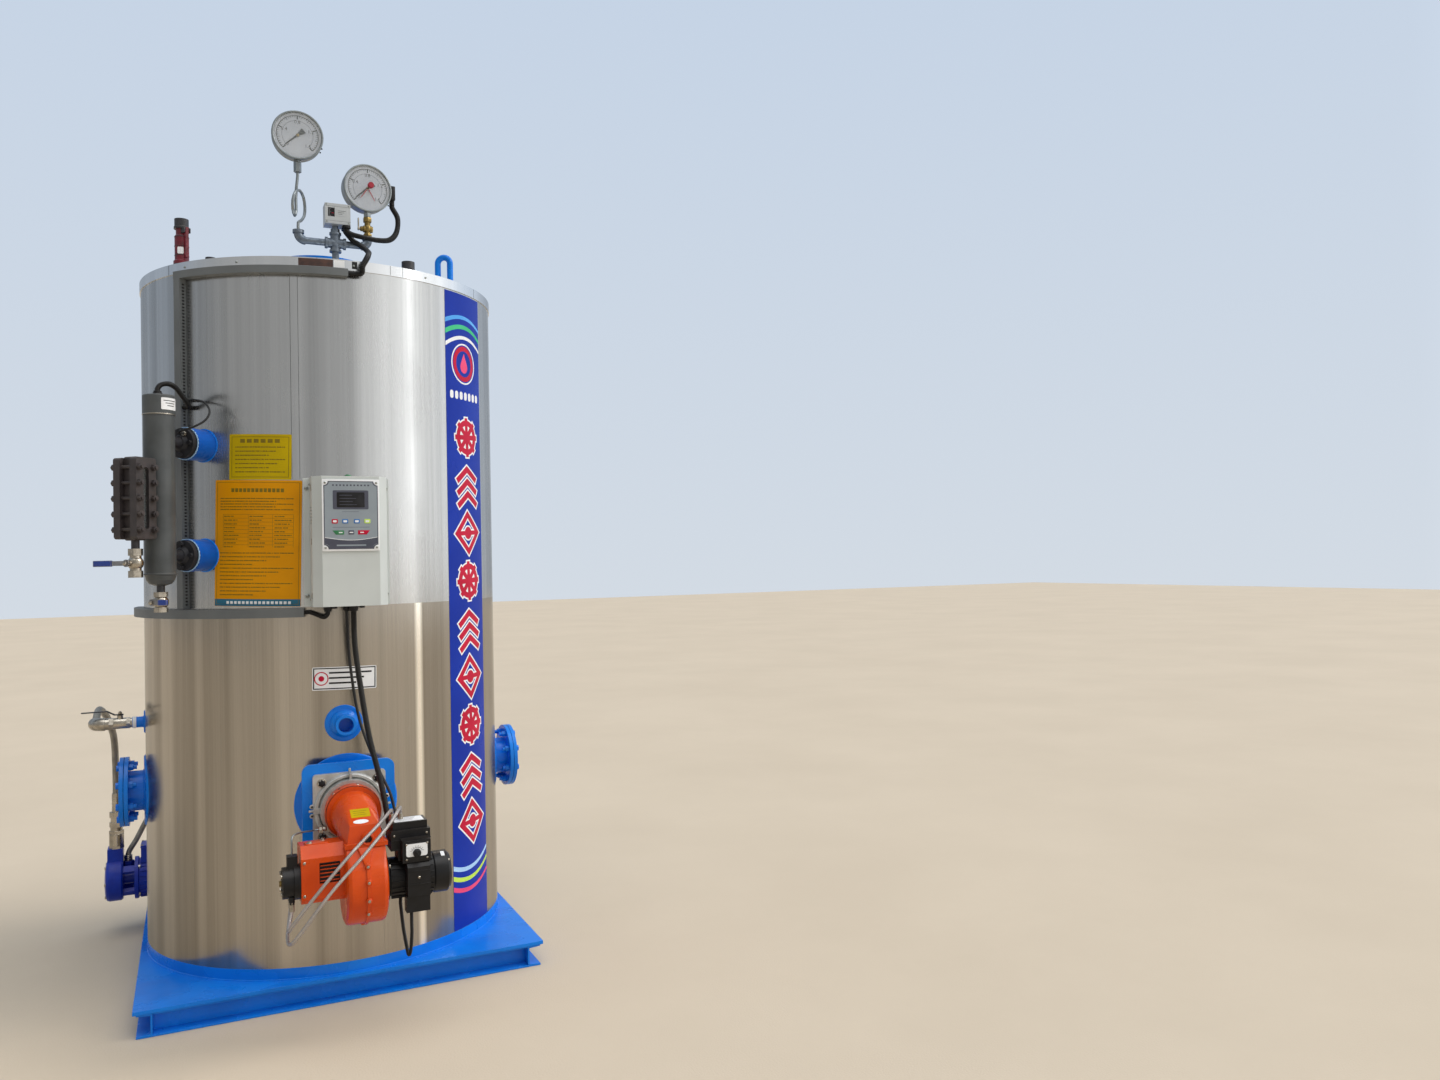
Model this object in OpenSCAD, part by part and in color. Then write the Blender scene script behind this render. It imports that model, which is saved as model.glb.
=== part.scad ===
// Vertical industrial steam boiler on a square steel base, with an oil burner,
// a feed pump, a water column, a control box and its gauges.
// Units are millimetres. +X is right, +Y is back, +Z is up; the burner faces -Y.
// An azimuth of 0 is the front, 90 is the right side and -90 the left side.

/* [Shell] */
// Outer radius of the stainless cladding
shell_r = 550; // [450:1:700]
// Wall of the cladding, insulation sheet included
clad_t = 4; // [2:0.5:10]
// Height of the lap between the two courses
lap_z = 1146; // [900:1:1400]
// Underside of the rim of the lid
rim_z = 2137.5; // [1800:0.5:2600]
// Height of the rim of the lid
rim_h = 30.5; // [15:0.5:60]

/* [Base] */
// Side of the square base plate
base_w = 1136; // [900:2:1500]
// Thickness of the base plate
plate_t = 10; // [6:1:20]
// Height of the channels under the plate
channel_h = 65; // [50:1:120]
// Width of the channel flanges
channel_w = 40; // [30:1:70]
// Height of the blue skirt ring
skirt_h = 33; // [20:1:60]

/* [Top fittings] */
// Outer diameter of the flue flange
flue_d = 306; // [240:2:400]
// Bore of the flue
flue_bore = 220; // [150:2:300]
// Height of the flue flange above the lid
flue_h = 114; // [60:1:200]
// Diameter of a gauge dial case
dial_d = 152; // [100:1:200]
// Height of the lifting eyes above the lid
lug_h = 141; // [80:1:200]

/* [Water column] */
// Azimuth of the two level nozzles
column_az = -43.2; // [-60:0.1:-20]
// Distance of the column axis from the boiler axis
column_rho = 714; // [690:1:800]
// Diameter of the water column
column_d = 80; // [60:1:120]
// Height of the upper level nozzle
nozzle_top = 1622; // [1500:1:1700]
// Height of the lower level nozzle
nozzle_low = 1302; // [1250:1:1400]

/* [Control box] */
// Height of the control box
box_h = 372; // [300:1:450]
// Depth of the control box
box_d = 98; // [70:1:140]
// Width of the flat front of the box
box_front = 157; // [120:1:220]

/* [Burner] */
// Height of the burner axis
burner_z = 570; // [500:1:650]
// Side of the cast burner flange
burner_flange = 200; // [160:1:240]
// Radius of the fan housing
fan_r = 108; // [90:1:140]

/* [Hidden] */
plate_top = channel_h + plate_t;
clad_z = plate_top + skirt_h;
lid_z = rim_z + rim_h;
burner_x = -9;
fan_y = -815;
fan_z = 408;
fan_x0 = -54;
fan_x1 = 52;
tree_y = -313;
tree_z = 2281;
box_back = -(shell_r + 4);
box_z = 1148;
box_y = box_back - 3 - box_d;
gauge_rho = 799;
gauge_z = 1456;
feed_z = 782;
stub = 36;
valve_l = 76;
elbow_r = 28;
outlet_h = 110;
hand_z = 567;
hand_r = 107;
hand_gap = 1.5;
hand_pcd = 86;
pump_x = -base_w / 2 - 36;
pump_y = base_w / 2 - 114;
pump_z = 182;
duct_az = -50.6;
duct_w = 22;
duct_d = 24;
duct_pitch = 9.6;
duct_z = rim_z - 22.5;

// Paint and metal colours of the plain model
blue = [0.02, 0.36, 0.80];
pump_blue = [0.05, 0.12, 0.60];
steel = [0.78, 0.78, 0.76];
dark = [0.12, 0.12, 0.13];
grey = [0.45, 0.46, 0.47];
orange = [0.90, 0.25, 0.05];
brass = [0.80, 0.65, 0.30];
zinc = [0.62, 0.66, 0.70];

// Local frame on the shell: -Y points outward at azimuth az
module at(az, z = 0) {
    rotate([0, 0, az]) translate([0, 0, z]) children();
}

// Same place, with +Z of the child pointing outward from distance rho
module out(az, rho, z) {
    at(az, z) translate([0, -rho, 0]) rotate([90, 0, 0]) children();
}

// Part of a ring between two azimuths
module ring_part(r0, r1, a0, a1, z0, z1) {
    rotate([0, 0, a0 - 90])
        rotate_extrude(angle = a1 - a0, $fn = 180)
            translate([r0, z0]) square([r1 - r0, z1 - z0]);
}

module tube(r, wall, h, fn = 48) {
    difference() {
        cylinder(r = r, h = h, $fn = fn);
        translate([0, 0, -1]) cylinder(r = r - wall, h = h + 2, $fn = fn);
    }
}

// Rounded plate in the XY plane, centred
module round_plate(w, h, t, r) {
    linear_extrude(t) offset(r, $fn = 24) square([w - 2 * r, h - 2 * r], center = true);
}

// Hexagon nut with its axis on +Z
module nut(across, h) {
    cylinder(d = across / cos(30), h = h, $fn = 6);
}

module ring_of(n, r, start = 0) {
    for (i = [0 : n - 1])
        rotate([0, 0, start + i * 360 / n]) translate([r, 0, 0]) children();
}

// A disc of thickness t that hugs the shell, radius r
module wrapped_disc(az, x, z, r, t) {
    intersection() {
        at(az, z) translate([x, 0, 0]) rotate([90, 0, 0]) cylinder(r = r, h = shell_r + 60, $fn = 64);
        translate([0, 0, z - r - 1]) tube(shell_r + t, t, 2 * r + 2, 180);
    }
}

// Cuts a nozzle back to the shell surface
module on_shell(z0, z1) {
    difference() {
        children();
        translate([0, 0, z0]) cylinder(r = shell_r, h = z1 - z0, $fn = 180);
    }
}

// Round sweep along a list of points, for hoses, cables and conduits
function unit(v) = v / norm(v);
function curve(p, k, t) =
    let (a = p[max(k - 1, 0)], b = p[k], c = p[k + 1], d = p[min(k + 2, len(p) - 1)])
    0.5 * (2 * b + (c - a) * t + (2 * a - 5 * b + 4 * c - d) * t * t + (3 * b - a - 3 * c + d) * t * t * t);
function smooth(p, n) = concat(
    [for (k = [0 : len(p) - 2], j = [0 : n - 1]) curve(p, k, j / n)], [p[len(p) - 1]]);
function tangent(p, i) = unit(p[min(i + 1, len(p) - 1)] - p[max(i - 1, 0)]);
function sides(p, i, s, done) = i == len(p) ? done :
    let (t = tangent(p, i), n = unit(s - (s * t) * t)) sides(p, i + 1, n, concat(done, [n]));
module sweep(route, d, n = 8, steps = 2) {
    p = smooth(route, steps);
    t0 = tangent(p, 0);
    s = sides(p, 0, abs(t0[0]) < 0.8 ? [1, 0, 0] : [0, 1, 0], []);
    rings = [for (i = [0 : len(p) - 1], j = [0 : n - 1])
        let (b = cross(tangent(p, i), s[i]), a = 360 * j / n)
        p[i] + d / 2 * (s[i] * cos(a) + b * sin(a))];
    last = n * (len(p) - 1);
    polyhedron(points = rings, faces = concat(
        [[for (j = [0 : n - 1]) j]],
        [for (i = [0 : len(p) - 2], j = [0 : n - 1])
            [i * n + j, (i + 1) * n + j, (i + 1) * n + (j + 1) % n, i * n + (j + 1) % n]],
        [[for (j = [0 : n - 1]) last + n - 1 - j]]));
}

// Shifts the burner group, drawn for a shell of 550, to the shell in use
module front() {
    translate([0, 550 - shell_r, 0]) children();
}

// Point in the local frame of an azimuth, as world coordinates
function local(az, x, rho, z) = [x * cos(az) + rho * sin(az), x * sin(az) - rho * cos(az), z];

// Base

module channel(length) {
    // Web on the inner side, flanges pointing to -Y
    translate([-length / 2, 0, 0]) rotate([90, 0, 90]) linear_extrude(length)
        polygon([[0, 0], [-channel_w, 0], [-channel_w, 5], [-5, 8], [-5, channel_h - 8],
            [-channel_w, channel_h - 5], [-channel_w, channel_h], [0, channel_h]]);
}

module side_channels() {
    color(blue) for (s = [-90, 90])
        rotate([0, 0, s]) translate([0, -base_w / 2 + 8 + channel_w, 0]) channel(base_w - 8);
}

module cross_channels() {
    span = base_w - 16 - 2 * channel_w;
    color(blue) {
        for (s = [0, 180]) rotate([0, 0, s]) translate([0, -base_w / 2 + 4 + channel_w, 0]) channel(span);
        translate([0, 20, 0]) channel(span);
    }
}

module base_plate() {
    color(blue) translate([-base_w / 2, -base_w / 2, channel_h]) cube([base_w, base_w, plate_t]);
}

module skirt_ring() {
    color(blue) translate([0, 0, plate_top]) tube(shell_r, 6, skirt_h, 180);
}

// Vessel and cladding

module drum() {
    r = shell_r - 90;
    color(dark) difference() {
        translate([0, 0, plate_top]) cylinder(r = r, h = lid_z - 3 - plate_top, $fn = 120);
        translate([0, 0, lid_z - 400]) cylinder(d = flue_bore, h = 500, $fn = 72);
    }
}

module cladding_lower() {
    color(steel) translate([0, 0, clad_z]) tube(shell_r, clad_t, lap_z - clad_z, 180);
}

module cladding_upper() {
    color(steel) {
        translate([0, 0, lap_z]) tube(shell_r, clad_t, rim_z - lap_z, 180);
        // Lap seam of the sheet
        ring_part(shell_r, shell_r + 1, -15.3, -13.3, lap_z, rim_z - 26);
    }
}

module lid() {
    color(steel) difference() {
        translate([0, 0, rim_z]) cylinder(r = shell_r + 3, h = rim_h, $fn = 180);
        translate([0, 0, rim_z - 1]) cylinder(r = shell_r, h = rim_h - 2, $fn = 180);
        translate([0, 0, rim_z]) cylinder(d = flue_bore + 8, h = rim_h + 1, $fn = 72);
    }
}

module flue_collar() {
    color(blue) difference() {
        union() {
            translate([0, 0, lid_z]) cylinder(d = flue_bore + 8, h = flue_h, $fn = 72);
            translate([0, 0, lid_z + flue_h - 10]) cylinder(d = flue_d, h = 10, $fn = 96);
        }
        translate([0, 0, lid_z - 1]) cylinder(d = flue_bore, h = flue_h + 2, $fn = 72);
        translate([0, 0, lid_z + flue_h - 11]) ring_of(8, 136, 22.5) cylinder(d = 14, h = 12, $fn = 24);
    }
}

// Eyes bent from round bar, in the line of the two slings
lug_az = 60;
lug_rho = 423;
lug_bar = 20;
lug_w = 42;
module lifting_lugs() {
    leg = lug_h - lug_w / 2 - lug_bar / 2;
    color(blue) for (s = [0, 180]) at(lug_az + s, lid_z) translate([0, -lug_rho, 0]) {
        for (y = [-1, 1]) translate([0, y * lug_w / 2, 0]) cylinder(d = lug_bar, h = leg, $fn = 32);
        translate([0, 0, leg]) rotate([90, 0, 90]) rotate_extrude(angle = 180, $fn = 48)
            translate([lug_w / 2, 0]) circle(d = lug_bar, $fn = 32);
    }
}

// Safety valve: threaded foot, side outlet, bonnet and cap
module safety_valve(scale_to, lever_side) {
    k = scale_to / 216;
    color(dark) rotate_extrude($fn = 40) polygon(k * [[0, 0], [17, 0], [17, 22], [26, 24], [26, 44],
        [19, 50], [19, 62], [23, 64], [23, 70], [0, 70]]);
    color(dark) rotate([0, 90, lever_side]) translate([-34 * k, 0, 0]) cylinder(r = 14 * k, h = 42 * k, $fn = 32);
    color([0.45, 0.05, 0.08]) translate([0, 0, 69 * k]) rotate_extrude($fn = 40)
        polygon(k * [[0, 0], [25, 0], [25, 11], [21, 15], [21, 91], [17, 97], [17, 120], [0, 120]]);
    color(dark) translate([0, 0, 188 * k]) cylinder(r = 21 * k, h = 28 * k, $fn = 32);
    color([0.45, 0.05, 0.08]) rotate([0, 0, lever_side + 180]) translate([16 * k, -5 * k, 90 * k])
        cube([16 * k, 10 * k, 96 * k]);
}

module safety_valve_main() {
    translate([-430, -40, lid_z]) safety_valve(216, 120);
}

module safety_valve_small() {
    translate([-342, 265, lid_z]) safety_valve(180, 120);
}

module lid_plug() {
    color(dark) translate([215, -400, lid_z]) {
        cylinder(d = 22, h = 28, $fn = 32);
        translate([0, 0, 28]) cylinder(d = 40, h = 24, $fn = 32);
    }
}

// Gauge tree

module pipe_x(x0, x1, d) {
    translate([x0, 0, 0]) rotate([0, 90, 0]) cylinder(d = d, h = x1 - x0, $fn = 32);
}

module gauge_manifold() {
    color(zinc) translate([0, tree_y, tree_z]) {
        // Riser from the lid
        translate([7, 0, lid_z - tree_z]) cylinder(d = 21, h = tree_z - lid_z, $fn = 32);
        // Cross with its four beads
        translate([7, 0, -26]) cylinder(d = 30, h = 58, $fn = 32);
        pipe_x(-20, 34, 30);
        for (x = [-24, 31]) pipe_x(x, x + 7, 36);
        for (z = [-29, 26]) translate([7, 0, z]) cylinder(d = 36, h = 7, $fn = 32);
        // Arms and their elbows
        pipe_x(-82, -24, 21);
        pipe_x(38, 85, 21);
        for (s = [-1, 1]) translate([s > 0 ? 85 : -82, 0, 20]) rotate([90, 0, 0])
            rotate([0, 0, s > 0 ? -90 : 180]) rotate_extrude(angle = 90, $fn = 48)
                translate([20, 0]) circle(d = 27, $fn = 24);
        translate([-102, 0, 20]) cylinder(d = 34, h = 10, $fn = 32);
        translate([105, 0, 20]) cylinder(d = 34, h = 10, $fn = 32);
        // Nipple and nut under the switch
        translate([7, 0, 33]) nut(24, 12);
        translate([7, 0, 45]) cylinder(d = 18, h = 9, $fn = 32);
    }
}

// Siphon tube: one standing loop, crossed by the tube that leaves it
siphon_x = -102;
siphon_az = 64;
siphon_path = [[0, 0, 30], [0, 0, 54], [15, -3, 64], [33, -6, 84], [38, -7, 112], [27, -7, 141], [0, -6, 154],
    [-27, -3, 141], [-38, 1, 112], [-31, 4, 86], [-12, 6, 72], [2, 7, 90], [2, 7, 118], [1, 6, 150],
    [0, 2, 182], [0, 0, 200], [0, 0, 214]];

module siphon() {
    color(zinc) translate([siphon_x, tree_y, tree_z]) {
        rotate([0, 0, siphon_az]) sweep(siphon_path, 9, 10, 2);
        translate([0, 0, 211]) nut(20, 30);
    }
}

module dial_case(d, depth) {
    // Axis on +Z, the dial side up
    difference() {
        rotate_extrude($fn = 72) polygon([[0, 0], [d / 2 - 8, 0], [d / 2 - 2, 4], [d / 2 - 2, depth - 10],
            [d / 2, depth - 10], [d / 2, depth], [0, depth]]);
        translate([0, 0, depth - 5]) cylinder(d = d - 12, h = 6, $fn = 72);
    }
}

module pressure_gauge() {
    color(zinc) translate([siphon_x, tree_y, 2602]) {
        rotate([90, 0, 0]) translate([0, 0, -22]) dial_case(dial_d, 44);
        translate([0, 0, -80]) cylinder(d = 16, h = 12, $fn = 32);
    }
}

module contact_gauge() {
    translate([105, tree_y, 2466]) rotate([0, 0, 8]) {
        color(zinc) {
            rotate([90, 0, 0]) translate([0, 0, -34]) dial_case(dial_d, 48);
            translate([0, 0, -93]) cylinder(d = 15, h = 22, $fn = 32);
        }
        color(dark) {
            translate([69, -12, -25]) cube([19, 30, 46]);
            rotate([90, 0, 0]) translate([0, 0, 8]) cylinder(d = 5, h = 30, $fn = 24);
        }
        color([0.7, 0.1, 0.2]) rotate([90, 0, 0]) translate([0, 0, 38]) cylinder(d = 19, h = 12, $fn = 32);
    }
}

module gauge_cock() {
    color(brass) translate([105, tree_y, tree_z + 30]) {
        cylinder(d = 20, h = 62, $fn = 32);
        nut(24, 10);
        translate([0, 0, 48]) nut(24, 14);
        translate([0, 0, 26]) rotate([0, 90, 0]) translate([0, 0, -22]) cylinder(d = 22, h = 38, $fn = 32);
        translate([-30, -4, 22]) cube([8, 8, 38]);
    }
}

module pressure_switch() {
    color([0.86, 0.87, 0.88]) translate([-26, tree_y - 30, tree_z + 54]) difference() {
        cube([76, 56, 64]);
        translate([9, -1, 22]) cube([20, 3, 28]);
    }
}

gauge_route = [[184, -299, 2440.8], [184, -299, 2430], [185, -299, 2419], [200, -308, 2384], [193, -326, 2334],
    [168, -350, 2300], [130, -362, 2291], [90, -362, 2295], [60, -352, 2302], [43, -336, 2313],
    [39, -331, 2324], [39, -331, 2329], [39, -331, 2334.8]];
switch_route = [[39, -304, 2334.8], [39, -304, 2330], [39, -304, 2325], [45, -315, 2311], [60, -332, 2288],
    [72, -350, 2275], [84, -390, 2253], [86, -450, 2227], [78, -520, 2200], [66, -566, 2174],
    [53, -575, 2148], local(1.2, 40, 566, 2131), local(1.2, 26, 562, 2126), local(1.2, 13, 562, 2126),
    local(1.2, 0.2, 562, 2126)];

module gauge_conduit() {
    color(dark) sweep(gauge_route, 18);
}

module switch_conduit() {
    color(dark) sweep(switch_route, 18);
}

// Wiring ducts

module duct_top() {
    color(grey) difference() {
        ring_part(shell_r, shell_r + duct_d, duct_az - 1.4, 1.2, duct_z, rim_z - 0.5);
        ring_part(shell_r + 2, shell_r + duct_d - 2, duct_az - 1.2, 1.0, duct_z + 2, rim_z - 2.5);
    }
}

module duct_vertical() {
    // Comb section: two slotted walls on a back strip, and a snap cover with lips
    h = duct_z - lap_z;
    n = floor((h - 20) / duct_pitch);
    edge = duct_d - 1.5;
    teeth = [for (i = [n : -1 : 0], c = [0 : 3])
        [c == 0 || c == 3 ? -edge : -6, 10 + i * duct_pitch + (c < 2 ? 4.6 : 0)]];
    color(grey) at(duct_az, lap_z) translate([0, -shell_r, 0]) {
        translate([-duct_w / 2, -2, 0]) cube([duct_w, 2, h]);
        for (x = [-duct_w / 2, duct_w / 2 - 1.5]) translate([x, 0, 0]) rotate([90, 0, 90]) linear_extrude(1.5)
            polygon(concat([[-1, 0], [-1, h], [-edge, h]], teeth, [[-edge, 0]]));
        translate([-duct_w / 2 - 1, -duct_d, 0]) cube([duct_w + 2, 1.5, h]);
        for (x = [-duct_w / 2 - 1, duct_w / 2]) translate([x, -duct_d, 0]) cube([1, 9, h]);
    }
}

module duct_band() {
    color(grey) difference() {
        ring_part(shell_r, shell_r + 28, -100, -12.25, lap_z - 28, lap_z - 2);
        ring_part(shell_r + 2, shell_r + 26, -99.8, -12.45, lap_z - 26, lap_z - 4);
    }
}

// Water column and glass gauge

module level_nozzles() {
    flange = shell_r + 70;
    for (z = [nozzle_low, nozzle_top]) {
        color(blue) on_shell(z - 60, z + 60) out(column_az, shell_r - 12, z) {
            tube(46, 36, 82, 48);
            translate([0, 0, 72]) tube(47.5, 37.5, 10, 48);
        }
        color(dark) difference() {
            out(column_az, flange, z) {
                cylinder(r = 43, h = 16, $fn = 48);
                translate([0, 0, 16]) cylinder(r1 = 26, r2 = 18, h = 10, $fn = 48);
                translate([0, 0, 16]) cylinder(r = 16, h = column_rho - flange - 16, $fn = 40);
                ring_of(4, 33, 0) translate([0, 0, 16]) nut(12, 8);
            }
            out(column_az, flange - 1, z) cylinder(r = 10, h = 200, $fn = 32);
            at(column_az, z - 60) translate([0, -column_rho, 0]) cylinder(r = column_d / 2 + 0.2, h = 120, $fn = 72);
        }
    }
}

module level_column() {
    r = column_d / 2;
    low = nozzle_low - 84;
    top = nozzle_top + 125;
    color(grey) at(column_az) translate([0, -column_rho, 0]) rotate_extrude($fn = 72)
        polygon([[0, low], [12, low], [29, low + 6], [36, low + 16], [r - 0.5, low + 28], [r + 2, low + 31],
            [r + 2, low + 34], [r, low + 36], [r, top - 55], [r + 1.5, top - 53],
            [r + 1.5, top - 2.5], [r - 1, top], [0, top]]);
}

cover_w = 67;
cover_h = 219;
cover_t = 22;
body_t = 34;
slot_h = 168;
stud_pitch = 42;
stud_x = 23.5;

// Local frame of the gauge: X is the look-through direction
module gauge_frame() {
    at(column_az, gauge_z) translate([0, -gauge_rho, 0]) rotate([0, 90, 0]) rotate([0, 0, 90]) children();
}

module glass_gauge_body() {
    color([0.33, 0.30, 0.29]) {
        gauge_frame() translate([0, 0, -body_t / 2]) difference() {
            round_plate(37, 226, body_t, 6);
            translate([0, 0, -1]) round_plate(18, slot_h, body_t + 2, 8.9);
        }
        // Nipples to the column
        difference() {
            for (z = [-100, 100]) at(column_az, gauge_z + z) translate([0, -gauge_rho + 18, 0])
                rotate([-90, 0, 0]) cylinder(d = 18, h = gauge_rho - 18 - column_rho, $fn = 32);
            at(column_az, gauge_z - 150) translate([0, -column_rho, 0])
                cylinder(r = column_d / 2 + 0.2, h = 300, $fn = 72);
        }
    }
}

module glass_gauge_covers() {
    color([0.36, 0.33, 0.32]) gauge_frame() for (s = [0, 1]) mirror([0, 0, s]) translate([0, 0, body_t / 2]) {
        difference() {
            round_plate(cover_w, cover_h, cover_t, 8);
            translate([0, 0, -1]) round_plate(18, slot_h, cover_t + 2, 8.9);
            translate([0, 0, -1]) round_plate(32, slot_h + 16, 13, 15.9);
        }
        for (x = [-stud_x, stud_x], i = [-2 : 2]) translate([x, i * stud_pitch, cover_t]) {
            nut(16, 10);
            translate([0, 0, 10]) cylinder(d = 10, h = 4, $fn = 24);
        }
    }
    // Studs between the covers
    color(dark) gauge_frame() for (x = [-stud_x, stud_x], i = [-2 : 2])
        translate([x, i * stud_pitch, -body_t / 2]) cylinder(d = 10, h = body_t, $fn = 24);
}

module glass_gauge_panes() {
    color([0.1, 0.15, 0.15]) gauge_frame() for (s = [0, 1]) mirror([0, 0, s])
        translate([0, 0, body_t / 2]) round_plate(31, slot_h + 15, 12, 15.4);
}

module ball_valve_body(d, h) {
    // Pipe axis on Z from 0 to h
    color(zinc) {
        difference() {
            union() {
                nut(d * 1.3, h * 0.24);
                translate([0, 0, h * 0.76]) nut(d * 1.3, h * 0.24);
                translate([0, 0, h * 0.1]) cylinder(d = d * 1.15, h = h * 0.8, $fn = 32);
                translate([0, 0, h / 2]) sphere(d = d * 1.6, $fn = 32);
                translate([0, 0, h / 2]) rotate([90, 0, 0]) cylinder(d = d * 0.6, h = d * 1.05, $fn = 24);
            }
            translate([0, 0, -1]) cylinder(d = d * 0.6, h = h * 0.3, $fn = 24);
        }
        // Stem
        translate([0, 0, h / 2]) rotate([90, 0, 0]) cylinder(d = 7, h = d * 1.05 + 12, $fn = 24);
    }
}

// Flat lever with a plastic sleeve, hub on Z and arm on +X
module lever(length, w) {
    color(zinc) difference() {
        union() {
            cylinder(d = 20, h = 3, $fn = 32);
            translate([0, -w / 2, 0]) cube([length * 0.45, w, 3]);
        }
        translate([0, 0, -1]) cylinder(d = 7.3, h = 5, $fn = 24);
    }
    color(blue) translate([length * 0.45, -w / 2 - 1.5, -1.5]) cube([length * 0.55, w + 3, 6]);
}

gd = 25;
// The drain valves hang under the gauge and under the column
gauge_valve_h = 78;
gauge_valve_z = gauge_z - 113 - 22 - gauge_valve_h;
column_valve_h = 56;
column_valve_z = nozzle_low - 84 - 17 - column_valve_h;
stem = gd * 1.05 + 4;
module gauge_drain_valve() {
    at(column_az, gauge_valve_z) translate([0, -gauge_rho, 0]) {
        ball_valve_body(gd, gauge_valve_h);
        color(dark) translate([0, 0, gauge_valve_h]) cylinder(d = 21, h = 22, $fn = 32);
    }
}

module gauge_drain_lever() {
    // The arm lies square to the valve, its end to the left
    out(column_az, gauge_rho + stem, gauge_valve_z + gauge_valve_h / 2) rotate([0, 0, 180]) lever(110, 13);
}

module column_drain_valve() {
    at(column_az, column_valve_z) translate([0, -column_rho, 0]) {
        ball_valve_body(gd, column_valve_h);
        color(dark) translate([0, 0, column_valve_h]) cylinder(d = 21, h = 17, $fn = 32);
    }
}

module column_drain_lever() {
    out(column_az, column_rho + stem, column_valve_z + column_valve_h / 2) lever(52, 13);
}

column_top = nozzle_top + 125;
column_route = [local(column_az, -4, column_rho, column_top + 0.1), local(column_az, -4, column_rho, column_top + 9),
    local(column_az, -4, column_rho, column_top + 18), local(column_az, -2, 704, column_top + 31),
    local(-43, 0, 680, column_top + 37), local(-44.2, 0, 640, column_top + 32), local(duct_az, 56, 607, column_top + 18),
    local(duct_az, 47, 582, column_top + 1), local(duct_az, 38, 568, column_top - 9), local(duct_az, 29, 563, column_top - 10),
    local(duct_az, 20, 563, column_top - 10), local(duct_az, duct_w / 2 + 1.2, 563, column_top - 10)];
lead_route = [local(duct_az, duct_w / 2 + 1.2, 560, column_top + 10), local(duct_az, 18, 560, column_top + 10),
    local(duct_az, 24, 560, column_top + 10), local(-44.1, 0, 577, column_top + 7), local(-39, 0, 595, column_top - 6),
    local(-36.1, 0, 612, column_top - 35), local(-36.3, 0, 628, column_top - 62), local(-38.2, 0, 648, column_top - 82),
    local(column_az, 24, 662, nozzle_top + 30), local(column_az, 14, 656, nozzle_top + 26),
    local(column_az, 14, 646, nozzle_top + 26), local(column_az, 14, shell_r + 86.2, nozzle_top + 26)];

module column_conduit() {
    color(dark) sweep(column_route, 15);
}

module column_lead() {
    color(dark) sweep(lead_route, 6);
}

// Control box

module control_box() {
    color([0.80, 0.82, 0.82]) {
        // Saddle that fits the shell, and the wide back plate
        on_shell(box_z, box_z + box_h) translate([-90, box_back, box_z + 30]) cube([180, 40, box_h - 60]);
        translate([-120, box_back - 3, box_z]) difference() {
            cube([240, 3, box_h]);
            for (x = [9, 231], z = [30, box_h - 30]) translate([x, -1, z]) rotate([-90, 0, 0]) cylinder(d = 6, h = 5, $fn = 24);
        }
    }
}

module control_box_cover() {
    w = 103;
    f = box_front / 2;
    color([0.82, 0.84, 0.84]) translate([0, box_back - 3, box_z]) difference() {
        linear_extrude(box_h) polygon([[-w, 0], [w, 0], [w, -box_d + 26], [f, -box_d], [-f, -box_d], [-w, -box_d + 26]]);
        for (i = [0 : 5]) translate([-w - 1, -box_d + 34, box_h - 90 - i * 9]) cube([4, 36, 4]);
    }
}

module keypad() {
    color([0.75, 0.77, 0.80]) translate([0, box_y, 1408]) rotate([90, 0, 0]) difference() {
        round_plate(box_front - 2, 203, 3, 3);
        for (sx = [-1, 1], sy = [-1, 1]) translate([sx * 77.5, sy * 101.5, -1]) cylinder(r = 12, h = 5, $fn = 32);
    }
}

box_conduit_route = [local(-12.25, 0.2, shell_r + 14, 1131), local(-12.25, 8, shell_r + 14, 1131),
    local(-12.25, 16, shell_r + 14, 1131), [-85, box_back - 10, 1123], [-70, box_back - 27, 1117],
    [-61, box_back - 41, 1125], [-60, box_back - 44, 1137], [-60, box_back - 44, 1142.4],
    [-60, box_back - 44, box_z - 0.2]];
module box_conduit() {
    color(dark) sweep(box_conduit_route, 14);
}

// Burner

module peephole() {
    z = 803;
    x = burner_x - 6;
    color(blue) {
        wrapped_disc(0, x, z, 50.5, 5);
        on_shell(z - 60, z + 60) difference() {
            translate([x, -shell_r + 4, z]) rotate([90, 0, 0]) rotate_extrude($fn = 64)
                polygon([[21, 0], [38, 0], [38, 14], [32, 22], [29, 24], [29, 58], [21, 58]]);
        }
    }
}

module burner_plate() {
    color(blue) {
        wrapped_disc(0, burner_x, burner_z, 141, 6);
        on_shell(burner_z - 160, burner_z + 160) translate([burner_x, -shell_r + 30, burner_z]) rotate([90, 0, 0])
            tube(105, 8, 68, 64);
        front() translate([burner_x, -588, burner_z]) rotate([90, 0, 0]) difference() {
            round_plate(255, 255, 12, 24);
            translate([0, 0, -1]) cylinder(r = 70, h = 14, $fn = 64);
        }
    }
}

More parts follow.
